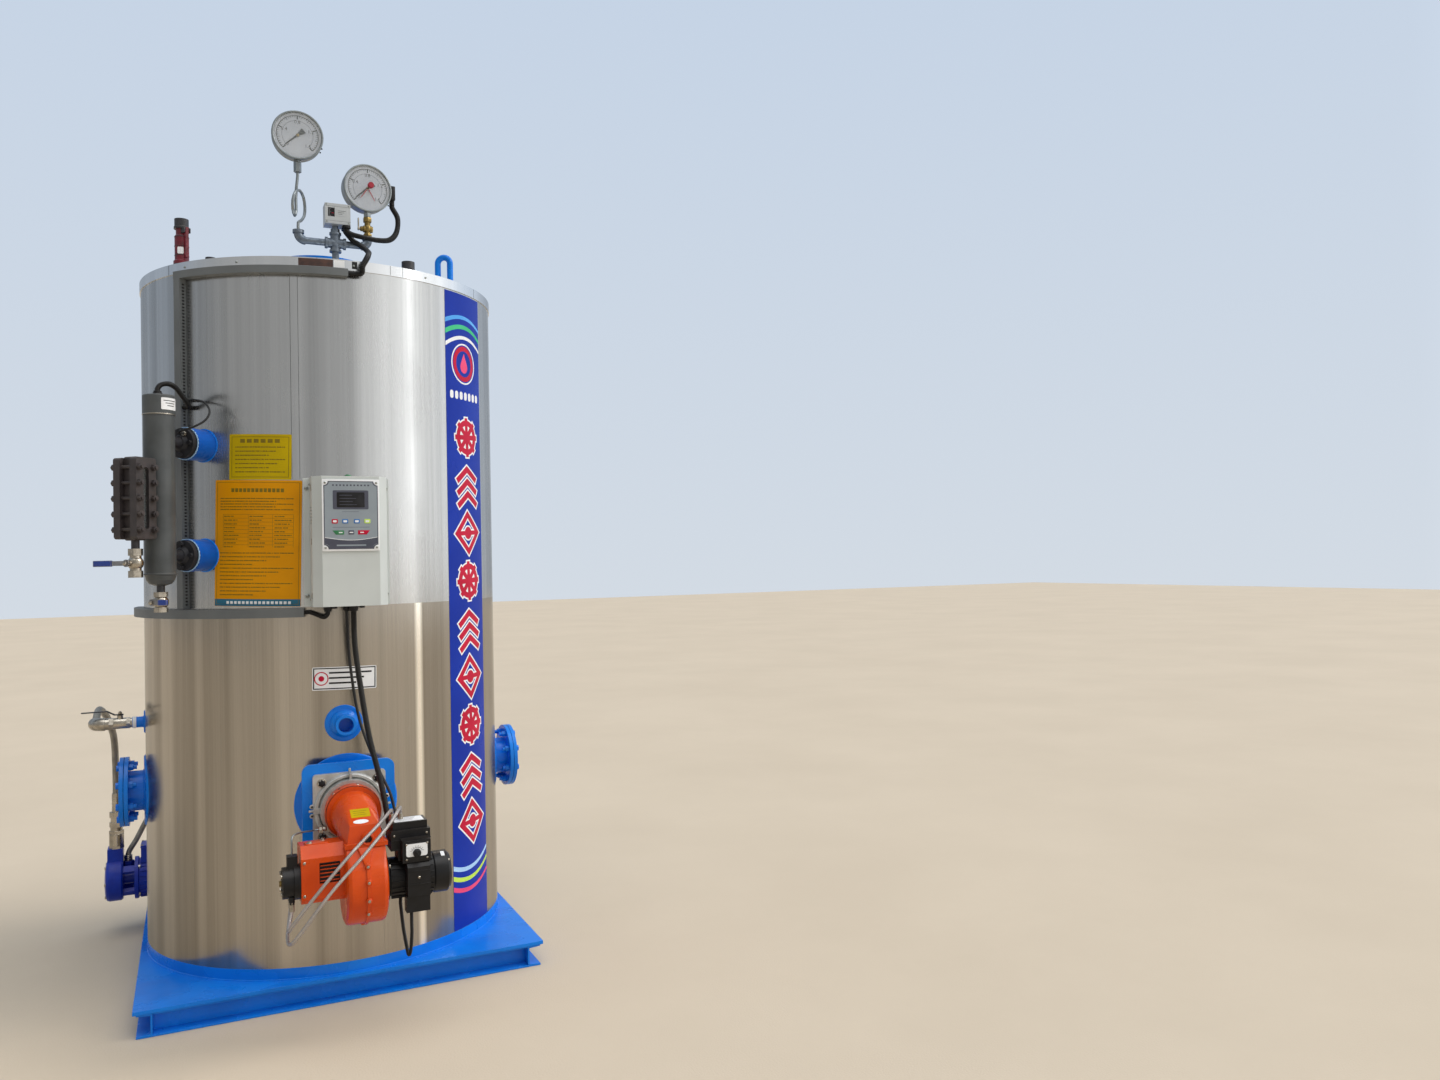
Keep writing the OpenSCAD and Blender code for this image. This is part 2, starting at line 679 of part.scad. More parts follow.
collar_r = 73;
collar_y = -696;
cast_l = 46;
module burner_flange_casting() {
    // Square flange with slotted corners, a long round neck and ribs
    color([0.62, 0.63, 0.64]) front() translate([burner_x, -600, burner_z]) rotate([90, 0, 0]) {
        difference() {
            union() {
                round_plate(burner_flange, burner_flange, 14, 10);
                cylinder(r = 83, h = cast_l, $fn = 72);
                translate([-3, 78, 0]) cube([6, 22, 40]);
                for (x = [-100, 78]) translate([x, -8, 0]) cube([22, 16, 26]);
            }
            translate([0, 0, -1]) cylinder(r = 70, h = cast_l + 6, $fn = 72);
            for (sx = [-1, 1], sy = [-1, 1]) rotate([0, 0, 0]) translate([sx * 76, sy * 76, -1]) {
                cylinder(d = 12, h = 20, $fn = 24);
                translate([-sx * 5, sy * 3, 0]) cylinder(d = 12, h = 20, $fn = 24);
            }
        }
        for (sx = [-1, 1], sy = [-1, 1]) translate([sx * 76, sy * 76, 14]) nut(17, 10);
    }
}

module burner_housing() {
    // Turning collar, neck, fan housing in two halves and the air intake box
    w = fan_x1 - fan_x0;
    color(orange) front() {
        translate([burner_x, -600 - cast_l, burner_z]) rotate([90, 0, 0])
            cylinder(r = collar_r, h = -collar_y - 600 - cast_l, $fn = 72);
        translate([burner_x, -600, burner_z]) rotate([90, 0, 0]) cylinder(r = 69, h = cast_l + 1, $fn = 72);
        hull() {
            translate([burner_x, collar_y + 4, burner_z - 2]) rotate([90, 0, 0]) cylinder(r = 63, h = 2, $fn = 48);
            translate([fan_x0 + 6, -868, 516]) cube([w - 12, 168, 8]);
            translate([fan_x0 + 15, -852, 562]) cube([w - 30, 70, 6]);
        }
        // Joint flange between neck and fan housing
        translate([fan_x0 - 1, -877, 513]) cube([w + 4, 178, 12]);
        hull() {
            translate([fan_x0, fan_y, fan_z]) rotate([0, 90, 0]) rotate_extrude($fn = 72)
                polygon([[0, 0], [fan_r - 12, 0], [fan_r - 3, 4], [fan_r, 12], [fan_r, w - 12], [fan_r - 3, w - 4],
                    [fan_r - 12, w], [0, w]]);
            translate([fan_x0 + 3, -872, 505]) cube([w - 6, 165, 9]);
        }
        // Rib over the joint of the halves, and its boss
        translate([-5, fan_y, fan_z]) rotate([0, 90, 0]) cylinder(r = fan_r + 3, h = 8, $fn = 96);
        translate([-9, fan_y - 8, fan_z - fan_r - 7]) cube([16, 16, 20]);
        // Pipe fitting on the left of the collar
        translate([-100, -670, 528]) rotate([0, 90, 0]) cylinder(d = 14, h = 50, $fn = 32);
        // Air intake box with bevelled edges and a sunk window
        difference() {
            translate([-162, -862, 0]) rotate([90, 0, 90]) linear_extrude(fan_x0 + 163)
                polygon([[10, 380], [112, 380], [120, 388], [120, 512], [112, 520], [26, 528], [0, 498], [0, 392]]);
            translate([-117, -863, 429]) cube([52, 11, 55]);
        }
    }
}

module burner_motor() {
    color(dark) front() translate([fan_x1, fan_y, fan_z]) rotate([0, 90, 0]) rotate_extrude($fn = 64)
        polygon([[0, 0], [64, 0], [64, 8], [54, 12], [54, 128], [56, 131], [56, 167], [48, 175], [0, 175]]);
}

module burner_pump() {
    color(dark) front() translate([-162, -815, 432]) rotate([0, -90, 0]) {
        cylinder(r = 46, h = 16, $fn = 48);
        cylinder(r = 41, h = 44, $fn = 48);
        translate([36, -16, 6]) cube([34, 32, 26]);
        for (y = [-22, 22]) translate([-52, y, 22]) rotate([0, 90, 0]) cylinder(d = 15, h = 20, $fn = 32);
    }
}

module burner_control() {
    color(dark) front() {
        translate([66, -862, 492]) cube([104, 90, 50]);
        translate([72, -850, 542]) cube([92, 66, 20]);
        // Dial block and its bracket
        translate([89, -904, 464]) cube([74, 42, 58]);
        translate([84, -862, 462]) cube([80, 60, 32]);
    }
}

module burner_plug() {
    color(dark) front() {
        translate([100, 0, 0]) rotate([90, 0, 90]) linear_extrude(60)
            polygon([[-911, 374], [-871, 374], [-871, 464], [-900, 464], [-911, 452]]);
        translate([97, -907, 332]) cube([62, 34, 43]);
    }
}

oil_route = [[-181, -815, 502.1], [-181, -815, 516], [-181, -815, 530], [-181, -814, 543], [-177, -806, 551],
    [-166, -786, 551], [-142, -735, 542], [-126, -692, 532], [-116, -674, 528.6], [-109, -670, 528],
    [-105, -670, 528], [-100.1, -670, 528]];
module oil_pipe() {
    color(zinc) front() sweep(oil_route, 5, 8, 2);
}

hose_a = [[-184, -837, 379.9], [-184, -837, 372], [-184, -837, 364], [-190, -850, 340], [-196, -878, 327],
    [-195, -904, 334], [-180, -925, 362], [-118, -952, 445], [-45, -955, 525], [24, -925, 580],
    [60, -868, 597], [74, -820, 592], [78, -802, 581], [78, -800, 575], [78, -800, 568.5], [78, -800, 562.1]];
hose_b = [[-184, -793, 379.9], [-184, -793, 370], [-184, -793, 360], [-192, -818, 316], [-197, -858, 294],
    [-192, -900, 297], [-172, -935, 330], [-100, -968, 432], [-20, -968, 515], [50, -935, 580],
    [86, -872, 604], [97, -828, 597], [100, -808, 585], [100, -806, 577], [100, -806, 569.5], [100, -806, 562.1]];
module oil_hoses() {
    color([0.75, 0.72, 0.72]) front() {
        sweep(hose_a, 9, 8, 2);
        sweep(hose_b, 9, 8, 2);
    }
}

conduit_route = [[10, -606, 1147.8], [10, -606, 1130], [10, -606, 1112], [12, -622, 1010], [36, -660, 800],
    [60, -702, 670], [70, -720, 610], [75, -727, 573], [79, -737, 543], [80, -748, 529], [80, -757, 525],
    [80, -764, 525], [80, -771.8, 525]];
module burner_conduit() {
    color(dark) front() sweep(conduit_route, 17);
}

leads_a = [[-8, -592, 1147.8], [-8, -592, 1130], [-8, -592, 1112], [0, -586, 980], [22, -596, 820], [56, -660, 700],
    [88, -700, 620], [98, -716, 575], [103, -734, 540], [104, -750, 526], [104, -757, 524], [104, -764, 524],
    [104, -771.8, 524]];
leads_b = [[96, -815, 353.8], [96, -815, 342], [96, -815, 330], [101, -821, 270], [106, -838, 225], [108, -860, 206],
    [110, -882, 225], [112, -890, 270], [112, -890, 305], [112, -890, 318], [112, -890, 331.8]];
module burner_leads() {
    color(dark) {
        front() sweep(leads_a, 8, 8, 2);
        front() sweep(leads_b, 10, 8, 2);
    }
}

// Hand holes, feed line and pump

module handhole_necks() {
    for (s = [-90, 90]) color(blue) {
        wrapped_disc(s, 0, hand_z, hand_r, 5);
        on_shell(hand_z - 120, hand_z + 120) out(s, shell_r - 20, hand_z) tube(62, 8, 67, 64);
        out(s, shell_r + 46, hand_z) difference() {
            cylinder(r = hand_r, h = 12, $fn = 72);
            translate([0, 0, -1]) cylinder(r = 54, h = 14, $fn = 64);
            ring_of(8, hand_pcd, 22.5) translate([0, 0, -1]) cylinder(d = 14, h = 14, $fn = 24);
        }
    }
}

module handhole_covers() {
    for (s = [-90, 90]) color(blue) out(s, shell_r + 58 + hand_gap, hand_z) {
        difference() {
            cylinder(r = hand_r, h = 12, $fn = 72);
            ring_of(8, hand_pcd, 22.5) translate([0, 0, -1]) cylinder(d = 13, h = 14, $fn = 24);
        }
        translate([0, 0, -4]) cylinder(r = 53.5, h = 4.5, $fn = 64);
        translate([0, 0, -hand_gap]) difference() {
            cylinder(r = 72, h = hand_gap + 0.1, $fn = 64);
            translate([0, 0, -1]) cylinder(r = 50, h = 3, $fn = 64);
        }
        // Bolts through both flanges
        ring_of(8, hand_pcd, 22.5) {
            translate([0, 0, 11.8]) nut(18, 9);
            translate([0, 0, -36]) cylinder(d = 13, h = 50, $fn = 24);
            translate([0, 0, -12 - hand_gap - 13]) nut(19, 13);
        }
    }
}

module feed_nozzle() {
    color(blue) {
        wrapped_disc(-90, 0, feed_z, 34, 4);
        on_shell(feed_z - 40, feed_z + 40) out(-90, shell_r - 10, feed_z) tube(17, 6, stub + 10, 40);
    }
}

module feed_valve() {
    color(zinc) out(-90, shell_r + stub, feed_z) {
        difference() {
            union() {
                cylinder(d = 30, h = 8, $fn = 32);
                translate([0, 0, 6]) nut(32, 12);
                translate([0, 0, 16]) cylinder(d = 34, h = 42, $fn = 32);
                translate([0, 0, 52]) nut(34, 14);
                translate([0, 0, 64]) cylinder(d = 36, h = valve_l - 63, $fn = 32);
            }
            translate([0, 0, -1]) cylinder(d = 18, h = 24, $fn = 24);
        }
        // Stem boss on the upper side
        translate([0, 12, 34]) rotate([-90, 0, 0]) cylinder(d = 16, h = 13, $fn = 24);
        translate([0, 12, 34]) rotate([-90, 0, 0]) cylinder(d = 7, h = 26, $fn = 24);
    }
    // Elbow that turns the line to the back
    color(zinc) translate([-(shell_r + stub + valve_l), 0, feed_z])
        rotate([0, 0, 180]) translate([0, -elbow_r, 0]) rotate_extrude(angle = 90, $fn = 48)
            translate([elbow_r, 0]) circle(d = 40, $fn = 24);
}

module feed_lever() {
    color(zinc) translate([-(shell_r + stub + 34), 0, feed_z + 26]) rotate([0, 0, 180]) difference() {
        union() {
            cylinder(d = 20, h = 3, $fn = 32);
            rotate([90, 0, 0]) translate([0, 0, -6]) linear_extrude(12)
                polygon([[6, 0], [16, 0], [36, 12], [106, 12], [106, 15], [34, 15], [14, 3], [6, 3]]);
        }
        translate([0, 0, -1]) cylinder(d = 7.3, h = 5, $fn = 24);
    }
}

hose_x = -(shell_r + stub + valve_l + elbow_r);
outlet_x = pump_x - 56;
feed_hose_route = [[hose_x, elbow_r + 0.1, feed_z], [hose_x, 40, feed_z], [hose_x, 52, feed_z], [hose_x, 110, feed_z + 22],
    [hose_x + 2, 200, feed_z + 24], [(hose_x + outlet_x) / 2, 300, feed_z - 16], [outlet_x - 2, pump_y - 64, 690],
    [outlet_x, pump_y - 14, 590], [outlet_x, pump_y, 520], [outlet_x, pump_y, 500], [outlet_x, pump_y, 480],
    [outlet_x, pump_y, pump_z + outlet_h + 165.1]];
module feed_hose() {
    color([0.66, 0.64, 0.60]) sweep(feed_hose_route, 22, 12, 2);
}

module feed_pump() {
    color(pump_blue) translate([pump_x, pump_y, pump_z]) {
        translate([-36, 0, 0]) rotate([0, -90, 0]) rotate_extrude($fn = 72)
            polygon([[0, 0], [66, 0], [71, 5], [71, 42], [67, 50], [50, 55], [0, 55]]);
        // Outlet branch and lantern bracket
        translate([-84, -22, 60]) cube([48, 66, outlet_h - 60]);
        for (a = [45 : 90 : 315]) rotate([a, 0, 0]) translate([-37, -12, 46]) cube([37, 24, 14]);
        rotate([0, -90, 0]) cylinder(r = 18, h = 37, $fn = 32);
    }
    color(zinc) translate([outlet_x, pump_y, pump_z + outlet_h]) {
        nut(40, 10);
        translate([0, 0, 10]) cylinder(d = 46, h = 40, $fn = 32);
        translate([0, 0, 50]) nut(40, 12);
        translate([0, 0, 62]) cylinder(d = 38, h = 13, $fn = 32);
        translate([0, 0, 74]) nut(38, 18);
        translate([0, 0, 92]) cylinder(d = 36, h = 16, $fn = 32);
        translate([0, 0, 107]) nut(37, 20);
        translate([0, 0, 127]) cylinder(d = 27, h = 38, $fn = 32);
    }
    // Suction nut behind the outlet
    color(zinc) translate([pump_x - 22, pump_y + 26, pump_z + 16]) nut(32, 40);
}

module pump_motor() {
    color(pump_blue) translate([pump_x, pump_y, pump_z]) {
        rotate([0, 90, 0]) rotate_extrude($fn = 72)
            polygon([[0, 0], [72, 0], [72, 12], [66, 14], [66, 150], [70, 152], [70, 190], [62, 196], [0, 196]]);
        rotate([0, 90, 0]) ring_of(24, 65) translate([-3, -1.5, 18]) cube([7, 3, 128]);
        translate([20, -40, 56]) cube([92, 80, 60]);
        // Feet on the base plate
        for (x = [42, 134]) translate([x, -60, plate_top - pump_z]) cube([24, 120, 12]);
        for (x = [42, 134], y = [-56, 44]) translate([x, y, plate_top - pump_z]) cube([24, 12, 70]);
    }
}

suction_route = [for (p = [[-22, 26, 56.2], [-22, 26, 66], [-22, 26, 76], [-17, 28, 92], [4, 34, 126], [33, 46, 182],
    [60, 70, 226], [100, 106, 258], [142, 138, 271]]) p + [pump_x, pump_y, pump_z]];
module suction_hose() {
    color([0.55, 0.53, 0.50]) sweep(suction_route, 18, 12, 2);
}

side_channels();
cross_channels();
base_plate();
skirt_ring();
drum();
cladding_lower();
cladding_upper();
lid();
flue_collar();
lifting_lugs();
safety_valve_main();
safety_valve_small();
lid_plug();
gauge_manifold();
siphon();
pressure_gauge();
contact_gauge();
gauge_cock();
pressure_switch();
gauge_conduit();
switch_conduit();
duct_top();
duct_vertical();
duct_band();
level_nozzles();
level_column();
glass_gauge_body();
glass_gauge_covers();
glass_gauge_panes();
column_conduit();
column_lead();
gauge_drain_valve();
gauge_drain_lever();
column_drain_valve();
column_drain_lever();
control_box();
control_box_cover();
keypad();
box_conduit();
peephole();
burner_plate();
burner_flange_casting();
burner_housing();
burner_motor();
burner_pump();
burner_control();
burner_plug();
oil_pipe();
oil_hoses();
burner_conduit();
burner_leads();
handhole_necks();
handhole_covers();
feed_nozzle();
feed_valve();
feed_lever();
feed_hose();
feed_pump();
pump_motor();
suction_hose();
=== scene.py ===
import math

import bmesh
import bpy
from mathutils import Matrix, Vector


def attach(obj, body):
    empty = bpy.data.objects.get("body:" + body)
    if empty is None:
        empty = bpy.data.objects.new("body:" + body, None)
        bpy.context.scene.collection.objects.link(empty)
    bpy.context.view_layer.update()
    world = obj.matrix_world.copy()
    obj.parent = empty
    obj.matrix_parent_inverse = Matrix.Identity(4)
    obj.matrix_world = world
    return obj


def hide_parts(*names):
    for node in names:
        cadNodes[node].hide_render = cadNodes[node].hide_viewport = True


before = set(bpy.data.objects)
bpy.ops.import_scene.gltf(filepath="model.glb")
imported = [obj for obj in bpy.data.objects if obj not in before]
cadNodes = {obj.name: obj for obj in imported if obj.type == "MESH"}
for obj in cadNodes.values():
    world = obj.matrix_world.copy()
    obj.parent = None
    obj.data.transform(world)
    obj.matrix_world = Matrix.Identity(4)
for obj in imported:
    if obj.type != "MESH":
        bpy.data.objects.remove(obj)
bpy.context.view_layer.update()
scene = bpy.context.scene
scene.view_settings.view_transform = "Standard"
mm = 0.001
shellRadius = 550
rimRadius = 553
vinylRadius = shellRadius + 0.1
print("frame loaded:", len(cadNodes), "nodes")


# Camera at the photo's place: position, heading from +Y towards +X, pitch and roll
view = {
    "place": (-0.402215, -3.907199, 1.267954),
    "heading": 25.798,
    "pitch": 0.894,
    "roll": -1.121,
    "lens": 27.157,
}


def makeCamera(settings):
    heading, pitch, roll = (math.radians(settings[k]) for k in ("heading", "pitch", "roll"))
    forward = Vector((math.sin(heading) * math.cos(pitch), math.cos(heading) * math.cos(pitch),
                      math.sin(pitch)))
    level = Vector((math.cos(heading), -math.sin(heading), 0))
    upright = level.cross(forward)
    right = math.cos(roll) * level + math.sin(roll) * upright
    up = -math.sin(roll) * level + math.cos(roll) * upright
    data = bpy.data.cameras.new("viewCamera")
    data.lens = settings["lens"]
    data.sensor_width = 36
    camera = bpy.data.objects.new("viewCamera", data)
    turn = Matrix((right, up, -forward)).transposed().to_4x4()
    camera.matrix_world = Matrix.Translation(settings["place"]) @ turn
    scene.collection.objects.link(camera)
    scene.camera = camera


makeCamera(view)


# Colours are written as sRGB hex and turned to the renderer's linear values
def linear(code):
    parts = [int(code[i:i + 2], 16) / 255 for i in (1, 3, 5)]
    return [p / 12.92 if p <= 0.04045 else ((p + 0.055) / 1.055) ** 2.4 for p in parts] + [1]


def addNode(tree, kind, links=None, **settings):
    node = tree.nodes.new(kind)
    for name, value in settings.items():
        setattr(node, name, value)
    for socket, source in (links or {}).items():
        if isinstance(source, bpy.types.NodeSocket):
            tree.links.new(source, node.inputs[socket])
        else:
            node.inputs[socket].default_value = source
    return node


# Empty material, its node tree and the Object coordinates that every pattern reads
def newMaterial(name):
    material = bpy.data.materials.new(name)
    material.use_nodes = True
    tree = material.node_tree
    tree.nodes.clear()
    return material, tree, addNode(tree, "ShaderNodeTexCoord").outputs["Object"]


def blendColours(tree, amount, first, second):
    return addNode(tree, "ShaderNodeMix", {0: amount, 6: first, 7: second}, data_type="RGBA").outputs[2]


def addMath(tree, operation, first, second=0.0, clamp=False):
    return addNode(tree, "ShaderNodeMath", {0: first, 1: second}, operation=operation,
                   use_clamp=clamp).outputs[0]


def spread(tree, value, low, high, fromLow=0.0, fromHigh=1.0):
    return addNode(tree, "ShaderNodeMapRange",
                   {0: value, 1: fromLow, 2: fromHigh, 3: low, 4: high}).outputs[0]


# Arc length round the boiler, radius and height in metres, from Object coordinates
def shellCoordinates(tree, place):
    axes = addNode(tree, "ShaderNodeSeparateXYZ", {0: place})
    x, y, z = axes.outputs
    minusY = addMath(tree, "MULTIPLY", y, -1.0)
    arc = addMath(tree, "MULTIPLY", addMath(tree, "ARCTAN2", x, minusY), shellRadius * mm)
    radius = addMath(tree, "SQRT",
                     addMath(tree, "ADD", addMath(tree, "MULTIPLY", x, x),
                             addMath(tree, "MULTIPLY", y, y)))
    return arc, radius, z


# Every finish starts here: base colour with patches, fine grain in the bump, uneven gloss, dust
# on what faces up, and edges that catch the light. Sizes are in millimetres. A second tone
# covers the part that its mask picks out.
def makeFinish(name, look):
    material, tree, place = newMaterial(name)
    patch = addNode(tree, "ShaderNodeTexNoise",
                    {0: place, 2: 1000 / look.get("patchMm", 90), 3: 3.0}).outputs[0]
    grain = addNode(tree, "ShaderNodeTexNoise",
                    {0: place, 2: 1000 / look.get("grainMm", 2), 3: 2.0}).outputs[0]
    patchy = spread(tree, patch, 0, 1, 0.35, 0.65)
    uneven = look.get("roughSpread", 0.05)
    colour = blendColours(tree, patchy, linear(look["colour"]), linear(look["shade"]))
    rough = spread(tree, patch, look["rough"] - uneven, look["rough"] + uneven, 0.3, 0.7)
    metal = look.get("metallic", 0.0)
    second = look.get("second")
    if second:
        other = looks[second]
        mask = look["mask"](tree, place)
        colour = blendColours(tree, mask, colour,
                              blendColours(tree, patchy, linear(other["colour"]),
                                           linear(other["shade"])))
        rough = addMath(tree, "ADD", rough,
                        addMath(tree, "MULTIPLY", mask, other["rough"] - look["rough"]), True)
        metal = spread(tree, mask, metal, other.get("metallic", 0.0))
    if look.get("dust"):
        normals = addNode(tree, "ShaderNodeNewGeometry").outputs["Normal"]
        upward = addNode(tree, "ShaderNodeSeparateXYZ", {0: normals}).outputs[2]
        settled = addNode(tree, "ShaderNodeTexNoise", {0: place, 2: 11.0, 3: 6.0, 4: 0.62}).outputs[0]
        amount = addMath(tree, "MULTIPLY", spread(tree, upward, 0.08, 1, 0.2, 0.9),
                         spread(tree, settled, 0, look["dust"], 0.38, 0.72), True)
        colour = blendColours(tree, amount, colour, linear("#a8957a"))
        rough = addMath(tree, "ADD", rough, addMath(tree, "MULTIPLY", amount, 0.4), True)
    bump = addNode(tree, "ShaderNodeBump",
                   {"Height": grain, "Distance": look.get("depthMm", 0.02) * mm})
    if "edgeMm" in look:
        tree.links.new(addNode(tree, "ShaderNodeBevel", {0: look["edgeMm"] * mm}, samples=4).outputs[0],
                       bump.inputs["Normal"])
    shader = addNode(tree, "ShaderNodeBsdfPrincipled", {
        "Base Color": colour, "Roughness": rough, "Normal": bump.outputs[0], "Metallic": metal})
    shader.inputs["Specular IOR Level"].default_value = look.get("specular", 0.5)
    addNode(tree, "ShaderNodeOutputMaterial", {0: shader.outputs[0]})
    return {"material": material, "tree": tree, "shader": shader, "colour": colour, "bump": bump}


# Masks for parts of one casting or weldment that are painted apart, limits in millimetres
def heightBetween(low, high):
    def mask(tree, place):
        z = addNode(tree, "ShaderNodeSeparateXYZ", {0: place}).outputs[2]
        return addMath(tree, "MULTIPLY", addMath(tree, "GREATER_THAN", z, low * mm),
                       addMath(tree, "LESS_THAN", z, high * mm))
    return mask


def radiusBeyond(limit):
    def mask(tree, place):
        radius = shellCoordinates(tree, place)[1]
        return addMath(tree, "GREATER_THAN", radius, limit * mm)
    return mask


# Looks that more than one finish starts from
ultramarine = {"colour": "#0f2d9c", "shade": "#1338ae", "rough": 0.33, "grainMm": 2.5, "depthMm": 0.08,
               "patchMm": 50, "dust": 0.25, "edgeMm": 1.6, "specular": 0.2}
nickel = {"colour": "#b9b2a6", "shade": "#9b9488", "metallic": 1.0, "rough": 0.28, "grainMm": 1.8,
          "depthMm": 0.05, "patchMm": 16, "edgeMm": 0.6}
valveBody = {"colour": "#26272b", "shade": "#33343a", "rough": 0.42, "grainMm": 1.5, "depthMm": 0.05,
             "patchMm": 20, "dust": 0.25, "edgeMm": 0.8, "second": "claretEnamel"}
cutVinyl = {"rough": 0.36, "grainMm": 30, "depthMm": 0.05, "patchMm": 90}
dullVinyl = {**cutVinyl, "specular": 0.12}
ink = {"rough": 0.4, "grainMm": 5, "depthMm": 0.01, "patchMm": 20, "specular": 0.25}
keyCap = {"rough": 0.35, "grainMm": 5, "depthMm": 0.01, "patchMm": 20}

